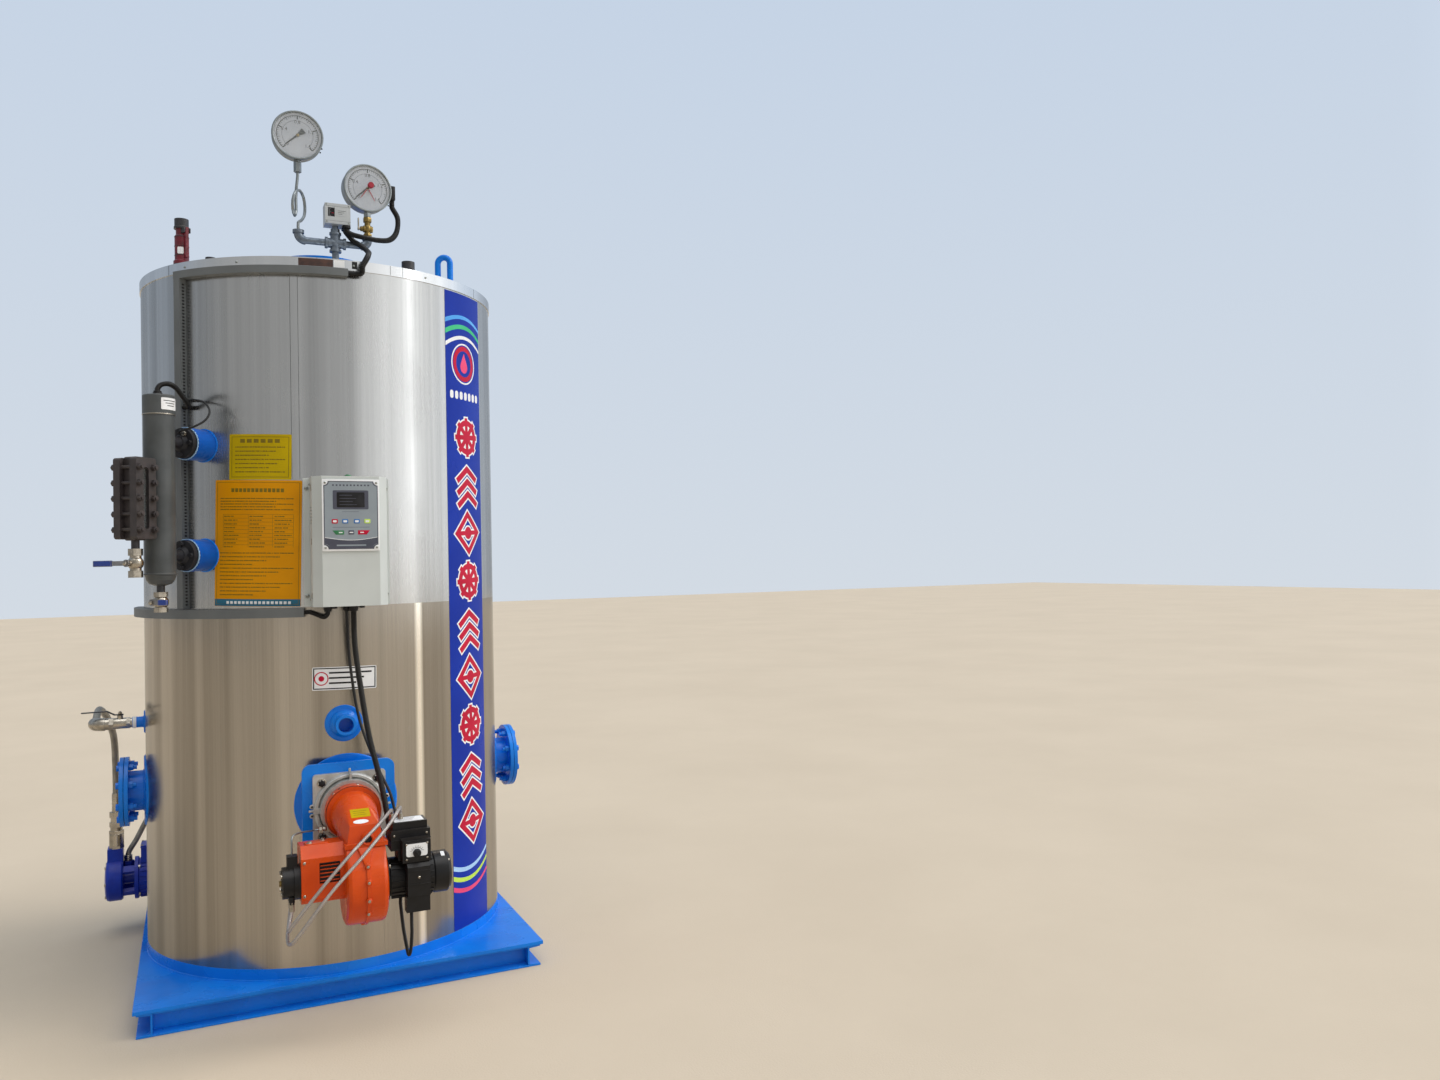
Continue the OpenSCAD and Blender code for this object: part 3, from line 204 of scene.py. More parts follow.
# Sprayed and brushed paints, mouldings, castings and plated metals
looks = {
    # Alkyd gloss enamel, brushed and sprayed over mill steel: wet shine, yard dust on its flats
    "blueEnamel": {"colour": "#0172d8", "shade": "#037ee6", "rough": 0.27, "grainMm": 6,
                   "depthMm": 0.05,
                   "patchMm": 120, "dust": 0.04, "edgeMm": 1.5, "specular": 0.3},
    # The same enamel on the small necks, thicker in the corners
    "ultramarineEnamel": ultramarine,
    # Stoved orange enamel over pressure die castings: smooth with a faint orange peel
    "orangeEnamel": {"colour": "#d24a05", "shade": "#c34004", "rough": 0.28, "grainMm": 2.2,
                     "depthMm": 0.03,
                     "patchMm": 70, "dust": 0.08, "edgeMm": 2.0, "specular": 0.28},
    # Black stoving paint on a cast motor frame: satin, fine tooth
    "blackCasting": {"colour": "#0b0b0d", "shade": "#131417", "rough": 0.36, "grainMm": 1.2,
                     "depthMm": 0.05,
                     "patchMm": 40, "dust": 0.06, "edgeMm": 1.2, "specular": 0.3},
    # Moulded glass-filled nylon: dull black with a soft sheen
    "blackNylon": {"colour": "#0c0c0e", "shade": "#141417", "rough": 0.38, "grainMm": 0.9,
                   "depthMm": 0.02,
                   "patchMm": 35, "dust": 0.05, "edgeMm": 1.2, "specular": 0.3},
    # Sand cast aluminium, shot blasted: pale grey with a mealy skin
    "castAluminium": {"colour": "#c6c6c3", "shade": "#adaeab", "metallic": 0.6, "rough": 0.47,
                      "grainMm": 1.3,
                      "depthMm": 0.09, "patchMm": 30, "edgeMm": 1.4},
    # Hot-dip galvanised malleable iron: blue-grey, cloudy
    "galvanisedIron": {"colour": "#7c8590", "shade": "#606b78", "metallic": 0.7, "rough": 0.42,
                       "grainMm": 3,
                       "depthMm": 0.05, "patchMm": 9, "edgeMm": 0.7},
    # Spun and lacquered steel dial case: even grey with a soft shine
    "dialSteel": {"colour": "#8d9395", "shade": "#80878a", "metallic": 0.75, "rough": 0.36,
                  "grainMm": 0.8,
                  "depthMm": 0.01, "patchMm": 30, "edgeMm": 0.4},
    # Turned brass, a little tarnished
    "turnedBrass": {"colour": "#8f7a48", "shade": "#76643c", "metallic": 0.9, "rough": 0.36,
                    "grainMm": 1.5,
                    "depthMm": 0.02, "patchMm": 14, "edgeMm": 0.5},
    # Nickel on forged brass: warm silver, pitted where it was cast
    "nickelPlate": nickel,
    # Zinc plated strip steel of the levers
    "platedStrip": {"colour": "#a2a3a6", "shade": "#8b8c90", "metallic": 1.0, "rough": 0.34,
                    "grainMm": 1.0,
                    "depthMm": 0.02, "patchMm": 14, "edgeMm": 0.4},
    # Polyester powder coat on folded sheet: light grey, fine even texture
    "powderCoat": {"colour": "#c4cac9", "shade": "#bdc3c2", "rough": 0.42, "grainMm": 1.1,
                   "depthMm": 0.03,
                   "patchMm": 160, "dust": 0.12, "edgeMm": 1.2},
    # Grey-white stove enamel of the small switch
    "switchEnamel": {"colour": "#b4b9bc", "shade": "#a9aeb2", "rough": 0.35, "grainMm": 1.1,
                     "depthMm": 0.02,
                     "patchMm": 40, "dust": 0.2, "edgeMm": 1.0},
    # Extruded grey PVC of the wiring ducts: dull, slightly chalky
    "greyPvc": {"colour": "#676c6f", "shade": "#5d6265", "rough": 0.5, "grainMm": 1.5, "depthMm": 0.02,
                "patchMm": 110, "dust": 0.3, "edgeMm": 0.6},
    # Dark grey satin paint over pipe
    "columnPaint": {"colour": "#505456", "shade": "#44484a", "rough": 0.36, "grainMm": 2.4,
                    "depthMm": 0.06,
                    "patchMm": 60, "dust": 0.2, "edgeMm": 1.0, "specular": 0.3},
    # Forged gauge body: brown-black scale with a grainy skin
    "forgedGauge": {"colour": "#2c282a", "shade": "#3a3436", "rough": 0.5, "grainMm": 1.6,
                    "depthMm": 0.12,
                    "patchMm": 25, "dust": 0.25, "edgeMm": 1.2},
    # Dark varnished iron of the small lid fittings
    "darkIron": {"colour": "#26272b", "shade": "#33343a", "rough": 0.45, "grainMm": 1.5,
                 "depthMm": 0.06,
                 "patchMm": 20, "dust": 0.3, "edgeMm": 0.8},
    # Claret enamel of the safety valve bonnets
    "claretEnamel": {"colour": "#5c1220", "shade": "#741a2a", "rough": 0.34, "grainMm": 1.6,
                     "depthMm": 0.04,
                     "patchMm": 30, "dust": 0.2, "edgeMm": 0.8, "specular": 0.3},
    # Corrugated black polyamide conduit
    "ribbedNylon": {"colour": "#0a0a0b", "shade": "#111113", "rough": 0.36, "grainMm": 1.0,
                    "depthMm": 0.01,
                    "patchMm": 50, "dust": 0.06, "edgeMm": 0.3, "specular": 0.3},
    # Bright zinc screws and washers
    "zincScrew": {"colour": "#b4b4ae", "shade": "#99a09c", "metallic": 1.0, "rough": 0.3,
                  "grainMm": 1.0,
                  "depthMm": 0.01, "patchMm": 5, "edgeMm": 0.2},
    # Vinyl sheet of the signs and labels, satin, slightly uneven where it was rubbed down
    "yellowVinyl": {"colour": "#bfa506", "shade": "#b59c06", "rough": 0.38, "grainMm": 22,
                    "depthMm": 0.12, "patchMm": 90, "specular": 0.12},
    "amberVinyl": {"colour": "#dc9606", "shade": "#d28d06", "rough": 0.34, "grainMm": 30,
                   "depthMm": 0.2, "patchMm": 130, "specular": 0.12},
    "blueVinyl": {"colour": "#1434a2", "shade": "#102e98", "rough": 0.3, "grainMm": 40, "depthMm": 0.2,
                  "patchMm": 160, "specular": 0.12},
    "redVinyl": {**dullVinyl, "colour": "#c01a3c", "shade": "#b31636", "rough": 0.34},
    "pinkVinyl": {**dullVinyl, "colour": "#e8507c", "shade": "#df4672"},
    "whiteVinyl": {**cutVinyl, "colour": "#eceef0", "shade": "#e2e5e8"},
    "skyVinyl": {**dullVinyl, "colour": "#4f9ee8", "shade": "#62abed"},
    "limeVinyl": {**dullVinyl, "colour": "#c4e45c", "shade": "#b4d84e"},
    "mintVinyl": {**dullVinyl, "colour": "#48c088", "shade": "#3bb37c"},
    "paleVinyl": {**dullVinyl, "colour": "#a9cdf0", "shade": "#9cc2e8"},
    # Dark brown of the painted reflection strip on the rim, then printed foils and inks
    "rimReflectionBrown": {"colour": "#3c2a26", "shade": "#55382f", "rough": 0.6, "grainMm": 3, "depthMm": 0.1,
                  "patchMm": 18},
    "slateVinyl": {"colour": "#3f4250", "shade": "#494c5b", "rough": 0.34, "grainMm": 9,
                   "depthMm": 0.02, "patchMm": 40},
    "tealVinyl": {**cutVinyl, "colour": "#2c6f8c", "shade": "#27657f", "specular": 0.25},
    "inkBlack": {**ink, "colour": "#1a1a1c", "shade": "#232326"},
    "oliveInk": {**ink, "colour": "#7d6c14", "shade": "#736210"},
    "foilGrey": {"colour": "#8d979f", "shade": "#87919a", "rough": 0.36, "grainMm": 6, "depthMm": 0.01,
                 "patchMm": 60},
    # Printed aluminium dial plate under glass
    "dialPlate": {"colour": "#b4b8c2", "shade": "#a8adb8", "rough": 0.45, "grainMm": 3, "depthMm": 0.01,
                  "patchMm": 60},
    "blueKey": {**keyCap, "colour": "#2d6fb4", "shade": "#2866a8"},
    "greenKey": {**keyCap, "colour": "#2d7a4c", "shade": "#277045"},
    "rubberBlack": {"colour": "#101012", "shade": "#17181a", "rough": 0.6, "grainMm": 1.0,
                    "depthMm": 0.03, "patchMm": 30},
    # Valve bonnets in claret between dark feet and caps
    "safetyMain": {**valveBody, "mask": heightBetween(2238, 2355.5)},
    "safetySmall": {**valveBody, "mask": heightBetween(2226.3, 2324.2)},
    # Blue neck, dark counter flange and stub
    "levelNozzle": {"colour": "#0454b4", "shade": "#0560c6", "rough": 0.3, "grainMm": 2,
                    "depthMm": 0.06, "patchMm": 60,
                    "dust": 0.08, "edgeMm": 1.2, "second": "darkIron", "mask": radiusBeyond(620.2),
                    "specular": 0.2},
    # Nickel valve under a dark pipe nipple
    "gaugeDrain": {**nickel, "second": "darkIron", "mask": heightBetween(1321.2, 1345)},
    "columnDrain": {**nickel, "second": "darkIron", "mask": heightBetween(1201.2, 1220)},
    # Ultramarine pump head with bright couplings on its branch
    "pumpHead": {**ultramarine, "second": "nickelPlate", "mask": heightBetween(292.2, 480)},
    # Blue vinyl dipped over the valve levers, moulded red setting knob
    "blueDip": {"colour": "#1b3f9a", "shade": "#16368a", "rough": 0.4, "grainMm": 2.0, "depthMm": 0.03,
                "patchMm": 20, "edgeMm": 0.8},
    "redKnob": {"colour": "#a01a30", "shade": "#8d1529", "rough": 0.35, "grainMm": 1.0, "depthMm": 0.01,
                "patchMm": 15},
}
finishes = {name: makeFinish(name, look) for name, look in looks.items()}
materials = {name: made["material"] for name, made in finishes.items()}


# Rolled stainless sheet, bright annealed: hairlines round the shell smear reflections up and down,
# and the thin sheet ripples a little, so they wander in streaks. The lower course is given a warmer
# base colour, a painted reflection of the warm pale floor.
def makeStainless(name, look):
    material, tree, place = newMaterial(name)
    arc, radius, height = shellCoordinates(tree, place)
    flat = addNode(tree, "ShaderNodeCombineXYZ",
                   {0: arc, 1: radius, 2: addMath(tree, "MULTIPLY", height, 0.006)}).outputs[0]
    streak = addNode(tree, "ShaderNodeTexNoise",
                     {0: flat, 2: 1000 / look["streakMm"], 3: 3.0, 4: 0.55}).outputs[0]
    hair = addNode(tree, "ShaderNodeTexNoise", {0: flat, 2: 1000 / look["hairMm"], 3: 2.0}).outputs[0]
    cloud = addNode(tree, "ShaderNodeTexNoise", {0: place, 2: 5.0, 3: 4.0}).outputs[0]
    broad = spread(tree, addNode(tree, "ShaderNodeTexNoise", {0: flat, 2: 9.0, 3: 1.0}).outputs[0], 0,
                   1, 0.44, 0.56)
    tone = addMath(tree, "ADD", addMath(tree, "MULTIPLY", streak, 0.7),
                   addMath(tree, "MULTIPLY", hair, 0.3))
    tone = addMath(tree, "ADD", addMath(tree, "MULTIPLY", tone, 0.7),
                   addMath(tree, "MULTIPLY", broad, 0.3))
    # Base colour runs in vertical light and dark streaks and broad panels: painted reflection streaks laid over
    # the sheet's own faint tone
    colour = blendColours(tree, spread(tree, tone, 0, 1, 0.26, 0.74), linear(look["colour"]),
                          linear(look["shade"]))
    if "paintedHighlightArc" in look:
        # Painted highlight: a narrow near-white band at a fixed arc, standing in for the reflection streak of a
        # bright wall
        away = addMath(tree, "ABSOLUTE", addMath(tree, "SUBTRACT", arc, look["paintedHighlightArc"] * mm))
        colour = blendColours(tree, spread(tree, away, 1, 0, 4 * mm, 16 * mm), colour,
                              linear("#fffaf0"))
    rough = addMath(tree, "ADD",
                    spread(tree, cloud, look["rough"] - 0.03, look["rough"] + 0.03, 0.35, 0.65),
                    spread(tree, hair, -0.03, 0.03, 0.3, 0.7))
    ripple = addNode(tree, "ShaderNodeBump", {"Height": streak, "Distance": look["rippleMm"] * mm})
    fine = addNode(tree, "ShaderNodeBump",
                   {"Height": hair, "Distance": 0.006 * mm, "Normal": ripple.outputs[0]})
    tangent = addNode(tree, "ShaderNodeTangent", direction_type="RADIAL", axis="Z")
    shader = addNode(tree, "ShaderNodeBsdfPrincipled", {
        "Base Color": colour, "Roughness": rough, "Metallic": 1.0, "Normal": fine.outputs[0],
        "Anisotropic": 0.75, "Tangent": tangent.outputs[0]})
    addNode(tree, "ShaderNodeOutputMaterial", {0: shader.outputs[0]})
    materials[name] = material


sheets = {
    "stainlessUpper": {"colour": "#cccdcd", "shade": "#abacac", "rough": 0.25, "streakMm": 34,
                       "hairMm": 5,
                       "rippleMm": 0.25},
    # Warmer base colour of the lower course: painted reflection of the warm floor
    "stainlessLower": {"colour": "#b7b1a8", "shade": "#8f8980", "rough": 0.22, "streakMm": 38,
                       "hairMm": 5,
                       # Painted highlight band at 216 mm of arc
                       "rippleMm": 0.3, "paintedHighlightArc": 216},
    "stainlessRim": {"colour": "#e4e6e8", "shade": "#d2d5d8", "rough": 0.16, "streakMm": 60,
                     "hairMm": 8,
                     "rippleMm": 0.15},
}
for name, look in sheets.items():
    makeStainless(name, look)


# Stainless wire braid over rubber hose: bundles of wire cross at a lay of one turn in layMm.
# The pattern follows the piece's own UV map, u along the hose and v round it.
def makeBraid(name, look):
    made = makeFinish(name, {"colour": look["colour"], "shade": look["shade"], "metallic": 0.9,
                             "rough": 0.36,
                             "grainMm": 1.5, "depthMm": 0.01, "patchMm": 40, "edgeMm": 0.2})
    tree = made["tree"]
    axes = addNode(tree, "ShaderNodeSeparateXYZ",
                   {0: addNode(tree, "ShaderNodeTexCoord").outputs["UV"]})
    along = addMath(tree, "MULTIPLY", axes.outputs[0],
                    2 * math.pi * look["bundles"] * look["lengthMm"] / look["layMm"])
    around = addMath(tree, "MULTIPLY", axes.outputs[1], 2 * math.pi * look["bundles"])
    left = addMath(tree, "SINE", addMath(tree, "ADD", along, around))
    right = addMath(tree, "SINE", addMath(tree, "SUBTRACT", along, around))
    weave = addMath(tree, "MAXIMUM", left, right)
    height = spread(tree, weave, 0, 1, -0.6, 1.0)
    gap = blendColours(tree, height, linear(look["gap"]), made["colour"])
    bump = addNode(tree, "ShaderNodeBump",
                   {"Height": height, "Distance": look["depthMm"] * mm,
                    "Normal": made["bump"].outputs[0]})
    tree.links.new(gap, made["shader"].inputs["Base Color"])
    tree.links.new(bump.outputs[0], made["shader"].inputs["Normal"])
    materials[name] = made["material"]


# Soda-lime glass over the dials, and the thick pressed panes of the level gauge
def makeGlass(name, colour, roughness):
    material, tree, place = newMaterial(name)
    smear = addNode(tree, "ShaderNodeTexNoise", {0: place, 2: 40.0, 3: 3.0}).outputs[0]
    shader = addNode(tree, "ShaderNodeBsdfPrincipled", {
        "Base Color": linear(colour),
        "Roughness": spread(tree, smear, roughness, roughness + 0.06, 0.4, 0.7),
        "IOR": 1.45, "Alpha": 0.1, "Specular IOR Level": 0.5})
    addNode(tree, "ShaderNodeOutputMaterial", {0: shader.outputs[0]})
    materials[name] = material


makeGlass("dialGlass", "#dfe8ea", 0.4)
print("finishes made:", len(materials))


# Local frame: x to the right, y up, z outward, at an azimuth of the boiler
def panelFrame(azimuth, origin):
    a = math.radians(azimuth)
    tangent, outward = Vector((math.cos(a), math.sin(a), 0)), Vector((math.sin(a), -math.cos(a), 0))
    turn = Matrix((tangent, Vector((0, 0, 1)), outward)).transposed().to_4x4()
    return Matrix.Translation(Vector(origin) * mm) @ turn


# Point at x sideways and rho outward at an azimuth, in millimetres
def local(azimuth, x, rho, z):
    a = math.radians(azimuth)
    return (x * math.cos(a) + rho * math.sin(a), x * math.sin(a) - rho * math.cos(a), z)


def shellFrame(azimuth, rho, z, x=0.0):
    return panelFrame(azimuth, local(azimuth, x, rho, z))


def turned(angle, axis="Z"):
    return Matrix.Rotation(math.radians(angle), 4, axis)


def moved(x, y, z=0.0):
    return Matrix.Translation(Vector((x, y, z)) * mm)


def paintNew(bm, before, material):
    for face in bm.faces:
        if face not in before:
            face.material_index = material


# All sizes below are in millimetres
def addBox(bm, low, high, place=Matrix(), bevel=0.0, material=0, segments=2):
    before = set(bm.faces)
    size, middle = Vector(high) - Vector(low), (Vector(high) + Vector(low)) / 2
    verts = bmesh.ops.create_cube(bm, size=1)["verts"]
    fit = Matrix.Translation(middle * mm) @ Matrix.Diagonal((*(size * mm), 1))
    bmesh.ops.transform(bm, matrix=place @ fit, verts=verts)
    if bevel:
        edges = list({e for v in verts for e in v.link_edges})
        bmesh.ops.bevel(bm, geom=edges, offset=bevel * mm, affect="EDGES", segments=segments,
                        profile=0.5, material=-1)
    paintNew(bm, before, material)


def addRod(bm, radius, z0, z1, place=Matrix(), segments=24, bevel=0.0, material=0):
    before = set(bm.faces)
    made = bmesh.ops.create_cone(bm, cap_ends=True, segments=segments, radius1=radius * mm,
                                 radius2=radius * mm, depth=(z1 - z0) * mm)
    verts = made["verts"]
    bmesh.ops.transform(bm, matrix=place @ Matrix.Translation((0, 0, (z0 + z1) / 2 * mm)), verts=verts)
    if bevel:
        edges = {e for v in verts for e in v.link_edges}
        rims = [e for e in edges if any(len(f.verts) > 4 for f in e.link_faces)]
        bmesh.ops.bevel(bm, geom=rims, offset=bevel * mm, affect="EDGES", segments=2, profile=0.5,
                        material=-1)
    paintNew(bm, before, material)


def addHex(bm, across, z0, z1, place=Matrix(), material=0):
    addRod(bm, across / math.sqrt(3), z0, z1, place, 6, min(0.8, (z1 - z0) * 0.15), material)


# Profile of (radius, height) pairs spun round the local z axis
def addTurned(bm, profile, place=Matrix(), segments=48, material=0, angle=360.0):
    before = set(bm.faces)
    verts = [bm.verts.new((r * mm, 0, z * mm)) for r, z in profile]
    edges = [bm.edges.new(pair) for pair in zip(verts, verts[1:])]
    bmesh.ops.spin(bm, geom=verts + edges, cent=(0, 0, 0), axis=(0, 0, 1), angle=math.radians(angle),
                   steps=segments, use_merge=angle == 360.0)
    faces = [f for f in bm.faces if f not in before]
    fresh = list({v for f in faces for v in f.verts})
    bmesh.ops.remove_doubles(bm, verts=fresh, dist=0.005 * mm)
    faces = [f for f in bm.faces if f not in before]
    bmesh.ops.transform(bm, matrix=place, verts=list({v for f in faces for v in f.verts}))
    paintNew(bm, before, material)


# Flat ring with a square section
def addRing(bm, inner, outer, z0, z1, place=Matrix(), segments=40, material=0, angle=360.0):
    addTurned(bm, [(inner, z0), (outer, z0), (outer, z1), (inner, z1), (inner, z0)], place, segments,
              material, angle)


# Round bar or weld bead: a small circle spun at a distance from the local z axis
def addBead(bm, ring, bar, place=Matrix(), segments=64, material=0, sides=8, ripple=0.0, angle=360.0):
    before = set(bm.faces)
    verts = bmesh.ops.create_circle(bm, segments=sides, radius=bar * mm)["verts"]
    bmesh.ops.transform(bm, matrix=moved(ring, 0) @ turned(90, "X"), verts=verts)
    edges = list({e for v in verts for e in v.link_edges})
    bmesh.ops.spin(bm, geom=verts + edges, cent=(0, 0, 0), axis=(0, 0, 1), angle=math.radians(angle),
                   steps=segments, use_merge=angle == 360.0)
    fresh = list({v for f in bm.faces if f not in before for v in f.verts})
    for vert in fresh:
        turn = math.atan2(vert.co.y, vert.co.x)
        centre = Vector((math.cos(turn), math.sin(turn), 0)) * ring * mm
        swell = 1 + ripple * math.sin(turn * segments / 3.1) * math.cos(turn * 17)
        vert.co = centre + (vert.co - centre) * swell
    bmesh.ops.transform(bm, matrix=place, verts=fresh)
    paintNew(bm, before, material)


# Flat outline of (x, y) pairs given a thickness along local z
def addOutline(bm, points, z0, z1, place=Matrix(), material=0, bevel=0.0):
    before = set(bm.faces)
    base = bm.faces.new([bm.verts.new((x * mm, y * mm, z0 * mm)) for x, y in points])
    made = bmesh.ops.extrude_face_region(bm, geom=[base])["geom"]
    bmesh.ops.translate(bm, vec=(0, 0, (z1 - z0) * mm),
                        verts=[g for g in made if isinstance(g, bmesh.types.BMVert)])
    if bevel:
        rim = list({e for g in made if isinstance(g, bmesh.types.BMFace) for e in g.edges})
        bmesh.ops.bevel(bm, geom=rim, offset=bevel * mm, affect="EDGES", segments=2, profile=0.5,
                        material=-1)
    fresh = list({v for f in bm.faces if f not in before for v in f.verts})
    bmesh.ops.transform(bm, matrix=place, verts=fresh)
    paintNew(bm, before, material)


def roundedRectangle(width, height, radius, steps=6):
    corners = [(1, 1, 0), (-1, 1, 90), (-1, -1, 180), (1, -1, 270)]
    return [(sx * (width / 2 - radius) + radius * math.cos(math.radians(start + 90 * i / steps)),
             sy * (height / 2 - radius) + radius * math.sin(math.radians(start + 90 * i / steps)))
            for sx, sy, start in corners for i in range(steps + 1)]


def meshFromCurve(curve):
    helper = bpy.data.objects.new(curve.name, curve)
    scene.collection.objects.link(helper)
    bpy.context.view_layer.update()
    mesh = bpy.data.meshes.new_from_object(helper)
    bpy.data.objects.remove(helper)
    return mesh


def addDigits(bm, words, size, place, material=0, depth=0.1):
    curve = bpy.data.curves.new("digits", "FONT")
    curve.body = words
    curve.size = size * mm
    curve.align_x, curve.align_y = "CENTER", "CENTER"
    curve.extrude = depth / 2 * mm
    curve.resolution_u = 2
    mesh = meshFromCurve(curve)
    mesh.transform(place)
    before = set(bm.faces)
    bm.from_mesh(mesh)
    paintNew(bm, before, material)
    bpy.data.meshes.remove(mesh)


# Bends flat work round the shell: local x becomes arc length, y height, z the distance from rho
def wrapOnShell(bm, azimuth, rho, stepMm=14.0, centre=(0, 0)):
    low = min(v.co.x for v in bm.verts)
    high = max(v.co.x for v in bm.verts)
    cuts = int((high - low) / (stepMm * mm))
    for i in range(1, cuts + 1):
        geometry = list(bm.verts) + list(bm.edges) + list(bm.faces)
        bmesh.ops.bisect_plane(bm, geom=geometry, dist=1e-7,
                               plane_co=(low + (high - low) * i / (cuts + 1), 0, 0), plane_no=(1, 0, 0))
    for vert in bm.verts:
        angle = math.radians(azimuth) + vert.co.x / (rho * mm)
        reach = rho * mm + vert.co.z
        vert.co = Vector((centre[0] * mm + reach * math.sin(angle),
                          centre[1] * mm - reach * math.cos(angle), vert.co.y))


def finishPiece(name, bm, finishNames, body="boiler", replaces=(), sharp=35):
    bmesh.ops.recalc_face_normals(bm, faces=bm.faces)
    mesh = bpy.data.meshes.new(name)
    bm.to_mesh(mesh)
    bm.free()
    for finishName in [finishNames] if isinstance(finishNames, str) else finishNames:
        mesh.materials.append(materials[finishName])
    mesh.shade_smooth()
    mesh.set_sharp_from_angle(angle=math.radians(sharp))
    piece = bpy.data.objects.new(name, mesh)
    scene.collection.objects.link(piece)
    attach(piece, body)
    if replaces:
        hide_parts(*replaces)


# Cords come first: the routes repeat the ones of the plain model, in millimetres
def smoothRoute(points, gapMm):
    anchors = [Vector(p) for p in points]
    fine = []
    for k in range(len(anchors) - 1):
        a, b = anchors[max(k - 1, 0)], anchors[k]
        c, d = anchors[k + 1], anchors[min(k + 2, len(anchors) - 1)]
        for j in range(24):
            t = j / 24
            bend, twist = 2 * a - 5 * b + 4 * c - d, 3 * b - a - 3 * c + d
            fine.append(0.5 * (2 * b + (c - a) * t + bend * t * t + twist * t ** 3))
    fine.append(anchors[-1])
    reach = [0.0]
    for first, following in zip(fine, fine[1:]):
        reach.append(reach[-1] + (following - first).length)
    count = max(8, round(reach[-1] / gapMm))
    even, k = [], 0
    for i in range(count + 1):
        target = reach[-1] * i / count
        while k < len(reach) - 2 and reach[k + 1] < target:
            k += 1
        share = (target - reach[k]) / (reach[k + 1] - reach[k])
        even.append(fine[k].lerp(fine[k + 1], min(max(share, 0), 1)))
    return even, reach[-1]


def makeCord(name, settings):
    points, length = smoothRoute(settings["route"], settings["gap"])
    curve = bpy.data.curves.new(name, "CURVE")
    curve.dimensions = "3D"
    curve.bevel_depth = settings["diameter"] / 2 * mm
    curve.bevel_resolution = settings.get("sides", 1)
    curve.use_fill_caps = True
    spline = curve.splines.new("POLY")
    spline.points.add(len(points) - 1)
    rib = settings.get("rib", (1.0,))
    for i, (point, target) in enumerate(zip(spline.points, points)):
        point.co = (*(target * mm), 1)
        point.radius = rib[i % len(rib)]
    mesh = meshFromCurve(curve)
    mesh.materials.append(materials[settings["finish"]])
    mesh.shade_smooth()
    piece = bpy.data.objects.new(name, mesh)
    scene.collection.objects.link(piece)
    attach(piece, "boiler")
    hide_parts(settings["node"])


